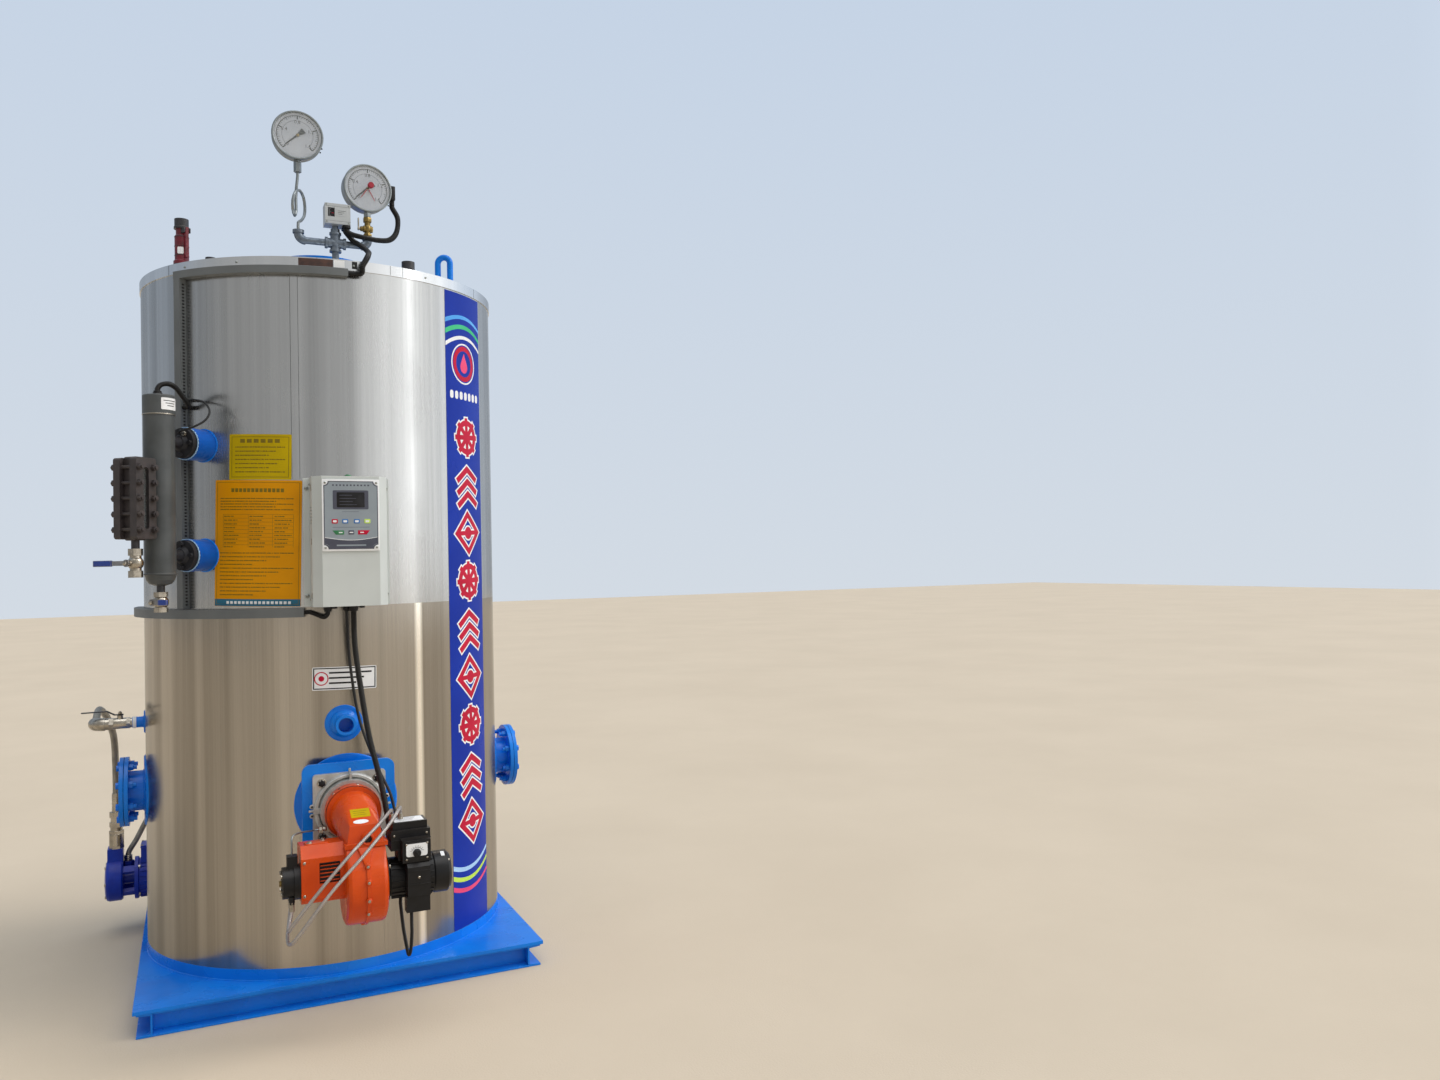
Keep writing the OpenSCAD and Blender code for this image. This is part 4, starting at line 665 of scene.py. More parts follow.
ribs = (1.0, 1.0, 0.86, 0.86)
ductAz = -50.6
ductSide = 12.2
columnAz = -43.2
columnTop = 1747
upperNozzle = 1622
boxBack = -554
feedZ = 782
hoseX = -690
outletX = -660
pumpY = 454
conduit = {"diameter": 18, "gap": 0.95, "rib": ribs, "finish": "ribbedNylon", "slot": "conduit_plastic"}
lead = {"diameter": 6, "gap": 5, "finish": "rubberBlack", "slot": "conduit_plastic",
        "stiffness": "medium"}
cords = {
    "gaugeConduit": {**conduit, "node": "gauge_conduit", "route": [
        (184, -299, 2440.8), (184, -299, 2430), (185, -299, 2419), (200, -308, 2384), (193, -326, 2334),
        (168, -350, 2300),
        (130, -362, 2291), (90, -362, 2295), (60, -352, 2302), (43, -336, 2313), (39, -331, 2324),
        (39, -331, 2329), (39, -331, 2334.8)]},
    "switchConduit": {**conduit, "node": "switch_conduit", "route": [
        (39, -304, 2334.8), (39, -304, 2330), (39, -304, 2325), (45, -315, 2311), (60, -332, 2288),
        (72, -350, 2275),
        (84, -390, 2253), (86, -450, 2227), (78, -520, 2200), (66, -566, 2174), (53, -575, 2148),
        local(1.2, 40, 566, 2131),
        local(1.2, 26, 562, 2126), local(1.2, 13, 562, 2126), local(1.2, 0.2, 562, 2126)]},
    "columnConduit": {**conduit, "diameter": 15, "gap": 0.85, "node": "column_conduit", "route": [
        local(columnAz, -4, 714, columnTop + 0.1), local(columnAz, -4, 714, columnTop + 9),
        local(columnAz, -4, 714, columnTop + 18), local(columnAz, -2, 704, columnTop + 31),
        local(-43, 0, 680, columnTop + 37),
        local(-44.2, 0, 640, columnTop + 32), local(ductAz, 56, 607, columnTop + 18),
        local(ductAz, 47, 582, columnTop + 1),
        local(ductAz, 38, 568, columnTop - 9), local(ductAz, 29, 563, columnTop - 10),
        local(ductAz, 20, 563, columnTop - 10), local(ductAz, ductSide, 563, columnTop - 10)]},
    "columnLead": {**lead, "node": "column_lead", "route": [
        local(ductAz, ductSide, 560, columnTop + 10), local(ductAz, 18, 560, columnTop + 10),
        local(ductAz, 24, 560, columnTop + 10), local(-44.1, 0, 577, columnTop + 7),
        local(-39, 0, 595, columnTop - 6),
        local(-36.1, 0, 612, columnTop - 35), local(-36.3, 0, 628, columnTop - 62),
        local(-38.2, 0, 648, columnTop - 82),
        local(columnAz, 24, 662, upperNozzle + 30), local(columnAz, 14, 656, upperNozzle + 26),
        local(columnAz, 14, 646, upperNozzle + 26), local(columnAz, 14, 636.2, upperNozzle + 26)]},
    "boxConduit": {**conduit, "diameter": 14, "gap": 0.8, "node": "box_conduit", "route": [
        local(-12.25, 0.2, 564, 1131), local(-12.25, 8, 564, 1131), local(-12.25, 16, 564, 1131),
        (-85, boxBack - 10, 1123),
        (-70, boxBack - 27, 1117), (-61, boxBack - 41, 1125), (-60, boxBack - 44, 1137),
        (-60, boxBack - 44, 1142.4), (-60, boxBack - 44, 1147.8)]},
    "burnerConduit": {**conduit, "diameter": 17, "node": "burner_conduit", "route": [
        (10, -606, 1147.8), (10, -606, 1130), (10, -606, 1112), (12, -622, 1010), (36, -660, 800),
        (60, -702, 670),
        (70, -720, 610), (75, -727, 573), (79, -737, 543), (80, -748, 529), (80, -757, 525),
        (80, -764, 525), (80, -771.8, 525)]},
    "burnerLead": {**lead, "diameter": 8, "node": "burner_leads", "route": [
        (-8, -592, 1147.8), (-8, -592, 1130), (-8, -592, 1112), (0, -586, 980), (22, -596, 820),
        (56, -660, 700),
        (88, -700, 620), (98, -716, 575), (103, -734, 540), (104, -750, 526), (104, -757, 524),
        (104, -764, 524), (104, -771.8, 524)]},
    "motorLead": {**conduit, "diameter": 10, "gap": 0.75, "node": "burner_leads", "route": [
        (96, -815, 353.8), (96, -815, 342), (96, -815, 330), (101, -821, 270), (106, -838, 225),
        (108, -860, 206),
        (110, -882, 225), (112, -890, 270), (112, -890, 305), (112, -890, 318), (112, -890, 331.8)]},
}
braided = {"sides": 3, "slot": "steel_braid", "stiffness": "stiff"}
cords["oilHoseFront"] = {**braided, "diameter": 9, "gap": 6, "finish": "fineBraidFront",
                         "node": "oil_hoses", "route": [
    (-184, -837, 379.9), (-184, -837, 372), (-184, -837, 364), (-190, -850, 340), (-196, -878, 327),
    (-195, -904, 334),
    (-180, -925, 362), (-118, -952, 445), (-45, -955, 525), (24, -925, 580), (60, -868, 597),
    (74, -820, 592), (78, -802, 581), (78, -800, 575), (78, -800, 568.5), (78, -800, 562.1)]}
cords["oilHoseBack"] = {**braided, "diameter": 9, "gap": 6, "finish": "fineBraidBack",
                        "node": "oil_hoses", "route": [
    (-184, -793, 379.9), (-184, -793, 370), (-184, -793, 360), (-192, -818, 316), (-197, -858, 294),
    (-192, -900, 297),
    (-172, -935, 330), (-100, -968, 432), (-20, -968, 515), (50, -935, 580), (86, -872, 604),
    (97, -828, 597), (100, -808, 585), (100, -806, 577), (100, -806, 569.5), (100, -806, 562.1)]}
cords["feedHose"] = {**braided, "diameter": 22, "gap": 9, "sides": 6, "finish": "coarseBraid",
                     "node": "feed_hose", "route": [
    (hoseX, 28.1, feedZ), (hoseX, 40, feedZ), (hoseX, 52, feedZ), (hoseX, 110, feedZ + 22),
    (hoseX + 2, 200, feedZ + 24),
    ((hoseX + outletX) / 2, 300, feedZ - 16), (outletX - 2, pumpY - 64, 690),
    (outletX, pumpY - 14, 590),
    (outletX, pumpY, 520), (outletX, pumpY, 500), (outletX, pumpY, 480), (outletX, pumpY, 457.1)]}
cords["suctionHose"] = {**braided, "diameter": 18, "gap": 8, "sides": 6, "finish": "suctionBraid",
                        "node": "suction_hose", "route": [
    (-626, 480, 238.2), (-626, 480, 248), (-626, 480, 258), (-621, 482, 274), (-600, 488, 308),
    (-571, 500, 364), (-544, 524, 408), (-504, 560, 440), (-462, 592, 453)]}
fineBraid = {"colour": "#dcd6d2", "shade": "#c4beba", "gap": "#6b6664", "bundles": 8, "layMm": 16,
             "depthMm": 0.35}
braids = {
    "fineBraidFront": fineBraid,
    "fineBraidBack": fineBraid,
    "coarseBraid": {"colour": "#c2bcb0", "shade": "#a8a398", "gap": "#5c5852", "bundles": 14,
                    "layMm": 46, "depthMm": 0.6},
    "suctionBraid": {"colour": "#b4afa5", "shade": "#9a958b", "gap": "#55514b", "bundles": 12,
                     "layMm": 40, "depthMm": 0.5},
}
for settings in cords.values():
    if settings["finish"] in braids:
        length = smoothRoute(settings["route"], settings["gap"])[1]
        makeBraid(settings["finish"], {**braids[settings["finish"]], "lengthMm": length})
for name, settings in cords.items():
    makeCord(name, settings)
print("cords laid:", len(cords))


# Finishes of the plain model's own solids
nodeFinish = {
    "blueEnamel": ["side_channels", "cross_channels", "base_plate", "skirt_ring", "flue_collar",
                   "lifting_lugs", "peephole",
                   "burner_plate", "handhole_necks", "handhole_covers", "feed_nozzle"],
    "stainlessLower": ["cladding_lower"],
    "stainlessUpper": ["cladding_upper"],
    "stainlessRim": ["lid"],
    "darkIron": ["drum", "lid_plug", "feed_lever"],
    "safetyMain": ["safety_valve_main"],
    "safetySmall": ["safety_valve_small"],
    "galvanisedIron": ["gauge_manifold"],
    "dialSteel": ["siphon", "pressure_gauge", "contact_gauge", "oil_pipe"],
    "turnedBrass": ["gauge_cock"],
    "powderCoat": ["control_box", "control_box_cover"],
    "switchEnamel": ["pressure_switch", "keypad"],
    "greyPvc": ["duct_top", "duct_vertical", "duct_band"],
    "columnPaint": ["level_column"],
    "levelNozzle": ["level_nozzles"],
    "forgedGauge": ["glass_gauge_body", "glass_gauge_covers"],
    "dialGlass": ["glass_gauge_panes"],
    "gaugeDrain": ["gauge_drain_valve"],
    "columnDrain": ["column_drain_valve"],
    "nickelPlate": ["feed_valve"],
    "platedStrip": ["gauge_drain_lever", "column_drain_lever"],
    "castAluminium": ["burner_flange_casting"],
    "orangeEnamel": ["burner_housing"],
    "blackCasting": ["burner_motor", "burner_pump"],
    "blackNylon": ["burner_control", "burner_plug"],
    "pumpHead": ["feed_pump"],
    "ultramarineEnamel": ["pump_motor"],
}
for finishName, names in nodeFinish.items():
    for name in names:
        mesh = cadNodes[name].data
        mesh.materials.clear()
        mesh.materials.append(materials[finishName])
print("solids painted")


# Dial gauges: pressed case, bezel, printed plate with its scale, needle and glass
dials = {
    "pressureDial": {"node": "pressure_gauge", "centre": (-102, -313, 2602), "azimuth": 0, "front": 22,
                     "depth": 44, "stem": (-80, 8), "limits": ()},
    "contactDial": {"node": "contact_gauge", "centre": (105, -313, 2466), "azimuth": 8, "front": 14,
                    "depth": 48, "stem": (-93, 7.5), "limits": (236, 300)},
}
# Angles are counted from local x, in degrees
scale = {"figures": ["0", "0.4", "0.8", "1.2", "1.6"], "size": 15, "figureRadius": 42, "start": 225,
         "sweep": 270, "divisions": 40, "reading": 222, "level": -5.35}


def makeDial(name, dial):
    bm = bmesh.new()
    base = panelFrame(dial["azimuth"], dial["centre"])
    front, back = dial["front"], -dial["depth"]
    place = base @ moved(0, 0, front)
    steel, plate, ink, brass, red = range(5)
    # Case with a stepped back, rolled edge and open front
    profile = [(0, back), (60, back), (67, back + 1.5), (73, back + 5), (73.8, back + 9), (73.8, -11),
               (75.6, -10.2), (76, -9), (76, -2), (75.2, -0.6), (73, 0.2), (71, 0), (70, -0.8), (70, -6.2),
               (0, -6.2)]
    addTurned(bm, profile, place, 96, steel)
    addRod(bm, 69.6, -6.0, -5.4, place, 72, 0, plate)
    # Scale: an arc of 270 degrees, five figures and forty divisions
    level, start, sweep = scale["level"], scale["start"], scale["sweep"]
    for radius, width in ((60, 1.9), (45, 0.8)):
        addRing(bm, radius, radius + width, 0, 0.15, place @ moved(0, 0, level) @ turned(start - sweep),
                90, ink, sweep)
    for i in range(scale["divisions"] + 1):
        angle = start - sweep * i / scale["divisions"]
        long = i % 10 == 0
        reach = 11 if long else (8 if i % 5 == 0 else 5)
        half = 1.7 if long else 0.8
        addBox(bm, (60.5 - reach, -half, level), (60.5, half, level + 0.2), place @ turned(angle), 0,
               ink)
    far = scale["figureRadius"]
    for i, words in enumerate(scale["figures"]):
        angle = math.radians(start - sweep * i / 4)
        spot = place @ moved(far * math.cos(angle), far * math.sin(angle) - 1, level + 0.1)
        addDigits(bm, words, scale["size"], spot, ink, 0.2)
    # Needle with its broad black tail, on a brass arbor
    pointers = [(scale["reading"], 54, 3.0, 1.2, ink),
                *((a, 46, 2.2, 2.4, red) for a in dial["limits"])]
    for angle, length, width, lift, tone in pointers:
        aim = place @ turned(angle)
        tail, wide = (-25, 9) if tone == ink else (-4, 2)
        addOutline(bm, [(tail, -wide), (0, -width), (length * 0.8, -width * 0.6), (length, 0),
                        (length * 0.8, width * 0.6),
                        (0, width), (tail, wide)], level + lift, level + lift + 0.6, aim, tone)
    addTurned(bm, [(0, level), (4.6, level), (4.6, level + 2.6), (3.4, level + 3.4), (0, level + 3.4)],
              place, 24, brass)
    # Boss and stem under the case
    low, radius = dial["stem"]
    stem = moved(*dial["centre"])
    addRod(bm, radius, low, -70, stem, 32, 0.6, steel)
    addHex(bm, 2 * radius + 5, low + 1, -73, stem, steel)
    for x, y in ((66, -44), (71, -32)):
        addRod(bm, 2.2, -9, -5.5, base @ moved(x, y, front) @ turned(30), 12, 0.4, ink)
    if dial["limits"]:
        # Setting knob through the glass, and the terminal box on the right
        addRod(bm, 2.4, -5, 24.5, place, 24, 0, ink)
        addTurned(bm, [(0, 24), (8.2, 24), (9.3, 25), (9.3, 34.4), (8.4, 35.8), (0, 36)], place, 28,
                  red)
        for i in range(14):
            addBox(bm, (8.8, -0.5, 25.5), (9.5, 0.5, 34), place @ turned(i * 360 / 14), 0.2, red, 1)
        addBox(bm, (72, -25, -18), (88, 21, 12), base, 2.5, ink)
        addBox(bm, (87.4, -20, -13), (88.6, 16, 7), base, 0.4, steel)
        for y in (-17, 13):
            addRod(bm, 1.8, 88, 89.4, base @ moved(0, y, -3) @ turned(90, "Y"), 12, 0.3, brass)
    finishPiece(name, bm, ["dialSteel", "dialPlate", "inkBlack", "turnedBrass", "redKnob"],
                replaces=[dial["node"]])
    glass = bmesh.new()
    addRod(glass, 69.9, -1.9, -0.9, place, 72)
    finishPiece(name + "Glass", glass, "dialGlass")


for name, dial in dials.items():
    makeDial(name, dial)
print("dials made")


# Signs rubbed onto the shell. Their print is a plain pattern of rules and blocks, with no words.
signs = {
    "yellowSign": {"azimuth": -24.85, "z": 1584, "size": (180, 132), "tilt": -1.2,
                   "base": "yellowVinyl", "ink": "oliveInk",
                   "accent": "oliveInk"},
    "amberSign": {"azimuth": -26.2, "z": 1334, "size": (254, 366), "tilt": -1.4, "base": "amberVinyl",
                  "ink": "oliveInk",
                  "accent": "tealVinyl"},
    "whiteLabel": {"azimuth": -1.1, "z": 934.5, "size": (180, 67), "tilt": -1.0, "base": "whiteVinyl",
                   "ink": "inkBlack",
                   "accent": "redVinyl"},
}


# The lap joint of the sheets stands proud between two azimuths, and the vinyl climbs over it
seam = {"start": -16.6, "end": -11.9, "slope": 1.2, "rise": 1.1}


def climbSeam(bm):
    for vert in bm.verts:
        turn = math.degrees(math.atan2(vert.co.x, -vert.co.y))
        if turn > seam["start"]:
            up = min(1.0, (turn - seam["start"]) / seam["slope"])
            down = min(1.0, max(0.0, (seam["end"] - turn) / seam["slope"]))
            outward = Vector((math.sin(math.radians(turn)), -math.cos(math.radians(turn)), 0))
            vert.co += outward * seam["rise"] * up * down * mm


def makeSign(name, sign):
    width, height = sign["size"]
    bm = bmesh.new()
    lean = moved(0, sign["z"]) @ turned(sign["tilt"])
    base, ink, accent, white = range(4)
    addOutline(bm, roundedRectangle(width, height, 3, 3), 0, 0.3, lean, base)

    def bar(x0, x1, y0, y1, tone=ink):
        addBox(bm, (x0, y0, 0.25), (x1, y1, 0.42), lean, 0, tone)

    def border(inset, line):
        w, h = width / 2 - inset, height / 2 - inset
        bar(-w, w, h - line, h)
        bar(-w, w, -h, -h + line)
        bar(-w, -w + line, -h + line, h - line)
        bar(w - line, w, -h + line, h - line)

    def dashes(x0, x1, y, thick, key):
        x, n = x0, key
        while x < x1 - 3:
            n = (n * 37 + 11) % 101
            end = min(x + 3 + n % 7, x1)
            bar(x, end, y, y + thick)
            x = end + 1.2 + (1.6 if n % 4 == 0 else 0)

    if name == "yellowSign":
        border(7, 1.6)
        for i in range(6):
            bar(-57 + 20 * i, -43 + 20 * i, 41, 52)
        for row in range(7):
            dashes(-72, 72 - 22 * (row % 3), 27 - row * 12, 3.2, row + 3)
    elif name == "amberSign":
        border(6, 1.2)
        for i in range(13):
            bar(-76 + 12 * i, -67 + 12 * i, 148, 159)
        for row in range(5):
            dashes(-110, 104 - 44 * (row % 2), 128 - row * 8, 3, row + 5)
        for row in range(9):
            y = 76 - row * 11
            bar(-100, 104, y + 7, y + 7.7)
            for column, x in enumerate((-98, -20, 52)):
                dashes(x, x + 30 + (row * 37 + column * 53) % 21, y, 3.2, row + 7 * column)
        for x in (-101, -24, 46, 104):
            bar(x, x + 0.8, -12, 84)
        for row in range(12):
            dashes(-110, 106 - 38 * (row * 5 % 4), -30 - row * 11, 3, row + 31)
        bar(-width / 2 + 1, width / 2 - 1, -height / 2 + 1, -height / 2 + 21, accent)
        for i in range(16):
            addBox(bm, (-88 + 12 * i, -height / 2 + 7, 0.35), (-80 + 12 * i, -height / 2 + 15, 0.52),
                   lean, 0, white)
    else:
        border(2.5, 3.2)
        for row in range(3):
            bar(-44, 76 - 22 * row, 14 - row * 15, 19 - row * 15)
        addRing(bm, 17, 20, 0.2, 0.45, lean @ moved(-65, 0), 28, accent)
        addRod(bm, 8, 0.2, 0.45, lean @ moved(-65, 0), 24, 0, accent)
    wrapOnShell(bm, sign["azimuth"], vinylRadius)
    if name == "amberSign":
        climbSeam(bm)
    finishPiece(name, bm, [sign["base"], sign["ink"], sign["accent"], "whiteVinyl"])


for name, sign in signs.items():
    makeSign(name, sign)


# Tall vinyl banner on the right: blue ground, bands in waves at both ends, a plain ring and a
# column of nine red marks with a white edge: wheels, chevrons and lozenges by turns
banner = {"azimuth": 45.5, "width": 197, "low": 109, "high": 2133, "first": 1671, "pitch": 154.6,
          "marks": 9, "edge": 5}
# Left, middle and right height of each band, its thickness and its colour
waves = [(2044, 2064, 2036, 14, "sky"), (2010, 2034, 2003, 16, "mint"), (1968, 1999, 1967, 13, "white"),
         (312, 297, 336, 15, "pale"), (280, 264, 302, 15, "lime"), (246, 230, 264, 15, "pink")]


def addWave(bm, half, wave, tone):
    left, middle, right, thick, _ = wave
    steps = [i / 24 for i in range(25)]
    tops = []
    for t in steps:
        level = left * (1 - t) * (1 - 2 * t) + middle * 4 * t * (1 - t) + right * t * (2 * t - 1)
        tops.append(((2 * t - 1) * (half - 0.6), level))
    under = [(x, z - thick * (1 - 0.35 * t)) for (x, z), t in zip(tops, steps)]
    for i in range(24):
        addOutline(bm, [under[i], under[i + 1], tops[i + 1], tops[i]], 0.2, 0.46, Matrix(), tone)


# Marks as lists of bars (x, y, length, width, angle) and rings (inner and outer radius)
sides = (-1, 1)
rafters = [(side * 26, y, 72, 19, -side * 34) for y in (-46, -6, 34) for side in sides]
frameBars = [(x * 30, y * 30, 100, 17, -45 * x * y) for x in sides for y in sides]
marks = {
    "wheel": {"bars": [(0, 0, 126, 16, 45 * i) for i in range(4)], "rings": [(38, 56), (0, 20)]},
    "chevrons": {"bars": rafters, "rings": []},
    "lozenge": {"bars": frameBars + [(0, 0, 116, 14, 0)], "rings": [(0, 20)]},
}


def addMark(bm, mark, spot, grow, level, tone):
    for i, (x, y, length, width, angle) in enumerate(mark["bars"]):
        long, wide = length / 2 + grow, width / 2 + grow
        addBox(bm, (-long, -wide, 0.2), (long, wide, level + 0.012 * i),
               spot @ moved(x, y) @ turned(angle), 0, tone)
    for i, (inner, outer) in enumerate(mark["rings"]):
        top = level + 0.012 * (len(mark["bars"]) + i)
        if inner:
            addRing(bm, inner - grow, outer + grow, 0.2, top, spot, 40, tone)
        else:
            addRod(bm, outer + grow, 0.2, top, spot, 32, 0, tone)


def makeBanner(name, plan):
    bm = bmesh.new()
    tones = ["blue", "white", "red", "pink", "sky", "lime", "mint", "pale"]
    blue, white, red, pink = range(4)
    half = plan["width"] / 2
    addBox(bm, (-half, plan["low"], 0), (half, plan["high"], 0.3), Matrix(), 0, blue)
    for wave in waves:
        addWave(bm, half, wave, tones.index(wave[4]))
    # Plain emblem: a white ring round a red one with a drop in it
    centre = moved(-6, 1908)
    addRing(bm, 61, 66, 0.2, 0.5, centre, 48, white)
    addRing(bm, 42, 57, 0.2, 0.5, centre, 44, red)
    drop = [(20 * math.sin(math.radians(a)),
             -10 - 20 * math.cos(math.radians(a))) for a in range(-110, 111, 20)]
    addOutline(bm, drop + [(0, 34)], 0.2, 0.5, centre, pink)
    for i in range(7):
        addOutline(bm, roundedRectangle(16, 26, 7, 3), 0.2, 0.46, moved(-72 + 24 * i, 1804), white)
    for i in range(plan["marks"]):
        spot = moved(4, plan["first"] - i * plan["pitch"]) @ turned(3)
        mark = marks[list(marks)[i % 3]]
        addMark(bm, mark, spot, plan["edge"], 0.42, white)
        addMark(bm, mark, spot, 0, 0.62, red)
    wrapOnShell(bm, plan["azimuth"], vinylRadius)
    finishPiece(name, bm, [tone + "Vinyl" for tone in tones])


makeBanner("sideBanner", banner)
print("signs and banner laid")


# Control panel: white plate, grey foil with a dark outline, screen and seven keys
panel = {"centre": (0, -658, 1408), "width": 157, "height": 205}


def makePanel(name, plan):
    bm = bmesh.new()
    place = panelFrame(0, plan["centre"])
    white, foil, slate, ink, blue, lime, red, green = range(8)

    def notched(width, height, notch):
        points = []
        for sx, sy, start in ((1, 1, 270), (-1, 1, 0), (-1, -1, 90), (1, -1, 180)):
            for i in range(7):
                angle = math.radians(start - 15 * i)
                points.append((sx * width / 2 + notch * math.cos(angle),
                               sy * height / 2 + notch * math.sin(angle)))
        return points

    addOutline(bm, roundedRectangle(plan["width"], plan["height"], 3, 4), 0, 0.8, place, white, 0.3)
    addOutline(bm, notched(148, 194, 12), 0.5, 1.0, place, slate)
    addOutline(bm, notched(143, 189, 12), 0.5, 1.15, place, foil)
    # Dark band along the bottom with a sagging edge
    edge = [(-71.4 + 142.8 * i / 16, -64 - 8 * math.cos(math.pi * (i / 8 - 1) / 2)) for i in range(17)]
    low = [(71.4, -82), (66, -82.6), (61, -87), (59.5, -94.4), (-59.5, -94.4), (-61, -87), (-66, -82.6),
           (-71.4, -82)]
    addOutline(bm, edge + low, 0.9, 1.3, place, slate)
    edgeLine = edge + [(x, y + 1.4) for x, y in edge[::-1]]
    addOutline(bm, edgeLine, 0.9, 1.4, place, white)
    addBox(bm, (-40, -88, 1.2), (40, -84, 1.45), place, 0, foil)
    # Screen in its bezel
    addOutline(bm, roundedRectangle(97, 54, 3, 3), 0.9, 1.6, place @ moved(-0.6, 43.7), slate)
    addOutline(bm, roundedRectangle(76, 43, 2, 3), 0.9, 1.9, place @ moved(-0.6, 43.7), ink, 0.3)
    for row in range(4):
        addBox(bm, (-31, 56 - row * 9, 1.8), (-31 + 34 + (row * 11) % 20, 57.4 - row * 9, 1.95), place,
               0, slate)
    for x in range(11):
        addBox(bm, (-50.5 + x * 9.6, 83, 1.0), (-45.5 + x * 9.6, 87.5, 1.25), place, 0, slate)
    addBox(bm, (-24, 9.4, 1.0), (21, 10.2, 1.25), place, 0, slate)
    addBox(bm, (-50, -35, 1.0), (50, -34.1, 1.25), place, 0, slate)
    # Keys: domed caps with a small mark
    for x, tone in ((-44.6, red), (-16.5, blue), (15.3, blue), (44.2, lime)):
        addOutline(bm, roundedRectangle(16.5, 12.5, 2.5, 3), 0.9, 1.7, place @ moved(x, -17.6), tone,
                   0.4)
        addOutline(bm, roundedRectangle(10, 6, 1.5, 2), 1.6, 1.85, place @ moved(x, -17.6), white)
    addOutline(bm, [(-51, -43.5), (-20, -43.5), (-20, -55.5), (-42, -55.5)], 0.9, 1.7, place, green,
               0.4)
    addOutline(bm, roundedRectangle(15.5, 12, 1.5, 2), 0.9, 1.7, place @ moved(0, -49.4), slate, 0.4)
    addOutline(bm, [(18, -43.5), (51, -43.5), (42, -55.5), (18, -55.5)], 0.9, 1.7, place, red, 0.4)
    for x in (-29, 0, 29):
        addBox(bm, (x - 5, -51, 1.6), (x + 5, -48, 1.85), place, 0, white)
    finishPiece(name, bm, ["whiteVinyl", "foilGrey", "slateVinyl", "inkBlack", "blueKey", "limeVinyl",
                           "redVinyl", "greenKey"])
    # Corner screws in white cups
    screws = bmesh.new()
    for x in (-70, 70):
        for y in (-92.6, 92.6):
            addTurned(screws, [(0, 0.7), (3.4, 0.7), (3.4, 2.0), (2.4, 2.9), (0, 3.1)],
                      place @ moved(x, y), 20, 0)
            addBox(screws, (-2.6, -0.35, 2.6), (2.6, 0.35, 3.2), place @ moved(x, y) @ turned(35), 0, 1)
    finishPiece("panelScrews", screws, ["zincScrew", "inkBlack"])


makePanel("controlPanel", panel)
print("control panel made")


# Ring with a chamfered edge round a cord or pipe, and a flat plate with rounded corners
def addCollar(bm, inner, outer, z0, z1, place, material=0, chamfer=0.8):
    profile = [(inner, z0), (outer, z0), (outer, z1 - chamfer), (outer - chamfer, z1), (inner, z1), (inner, z0)]
    addTurned(bm, profile, place, 28, material)


def addPlate(bm, width, height, z0, z1, place, material=0, corner=2.0, bevel=0.0):
    addOutline(bm, roundedRectangle(width, height, corner, 3), z0, z1, place, material, bevel)


# Pan head screw with its slot
def addScrew(bm, radius, place, material=0, slotMaterial=1, spinAngle=30):
    addTurned(bm, [(0, -0.3), (radius, -0.3), (radius, radius * 0.3), (radius * 0.7, radius * 0.62),
                   (0, radius * 0.7)], place, 18, material)
    addBox(bm, (-radius * 0.8, -radius * 0.1, radius * 0.6),
           (radius * 0.8, radius * 0.1, radius * 0.74), place @ turned(spinAngle),
           0, slotMaterial)


# Weld beads, bent to the shell where a round neck or pad meets it:
# azimuth, sideways offset, height, ring radius, bead radius, radius of the surface
weldSeams = [
    (0, -15, 803, 51, 2.6, 550), (0, -15, 803, 38.6, 2.2, 555), (0, -9, 570, 141.6, 3, 550),
    (0, -9, 570, 105.8, 3, 556),
    (90, 0, 567, 107.6, 3, 550), (90, 0, 567, 62.6, 3, 555), (-90, 0, 567, 107.6, 3, 550),
    (-90, 0, 567, 62.6, 3, 555),
    (-90, 0, 782, 34.5, 2.4, 550), (-90, 0, 782, 17.6, 2.2, 554), (columnAz, 0, 1302, 46.6, 3, 550),
    (columnAz, 0, 1622, 46.6, 3, 550),
]


def makeWelds(seams):
    bm = bmesh.new()
    for azimuth, x, z, ring, bar, rho in seams:
        before = set(bm.faces)
        addBead(bm, ring, bar, Matrix(), 56, 0, 6, 0.14)
        place = shellFrame(azimuth, rho, z, x)
        for vert in list({v for f in bm.faces if f not in before for v in f.verts}):
            across = vert.co.x + x * mm
            vert.co.z += math.sqrt((rho * mm) ** 2 - across ** 2) - rho * mm
            vert.co = place @ vert.co
    addBead(bm, 550.8, 2.6, moved(0, 0, 75.6), 160, 0, 6, 0.1)
    addBead(bm, 114.6, 3, moved(0, 0, 2168.6), 56, 0, 6, 0.14)
    for side in (60, 240):
        for reach in (402, 444):
            addBead(bm, 10.4, 2.4, shellFrame(side, reach, 2168.6), 20, 0, 6, 0.1)
    finishPiece("weldBeads", bm, "blueEnamel")


makeWelds(weldSeams)


# Joint straps, screws and a strip of painted reflections on the rim of the lid
rimTrim = {"joints": (-57, -7.5, 52), "screws": (-49.5, -31, 3.2, 27), "height": 2152}


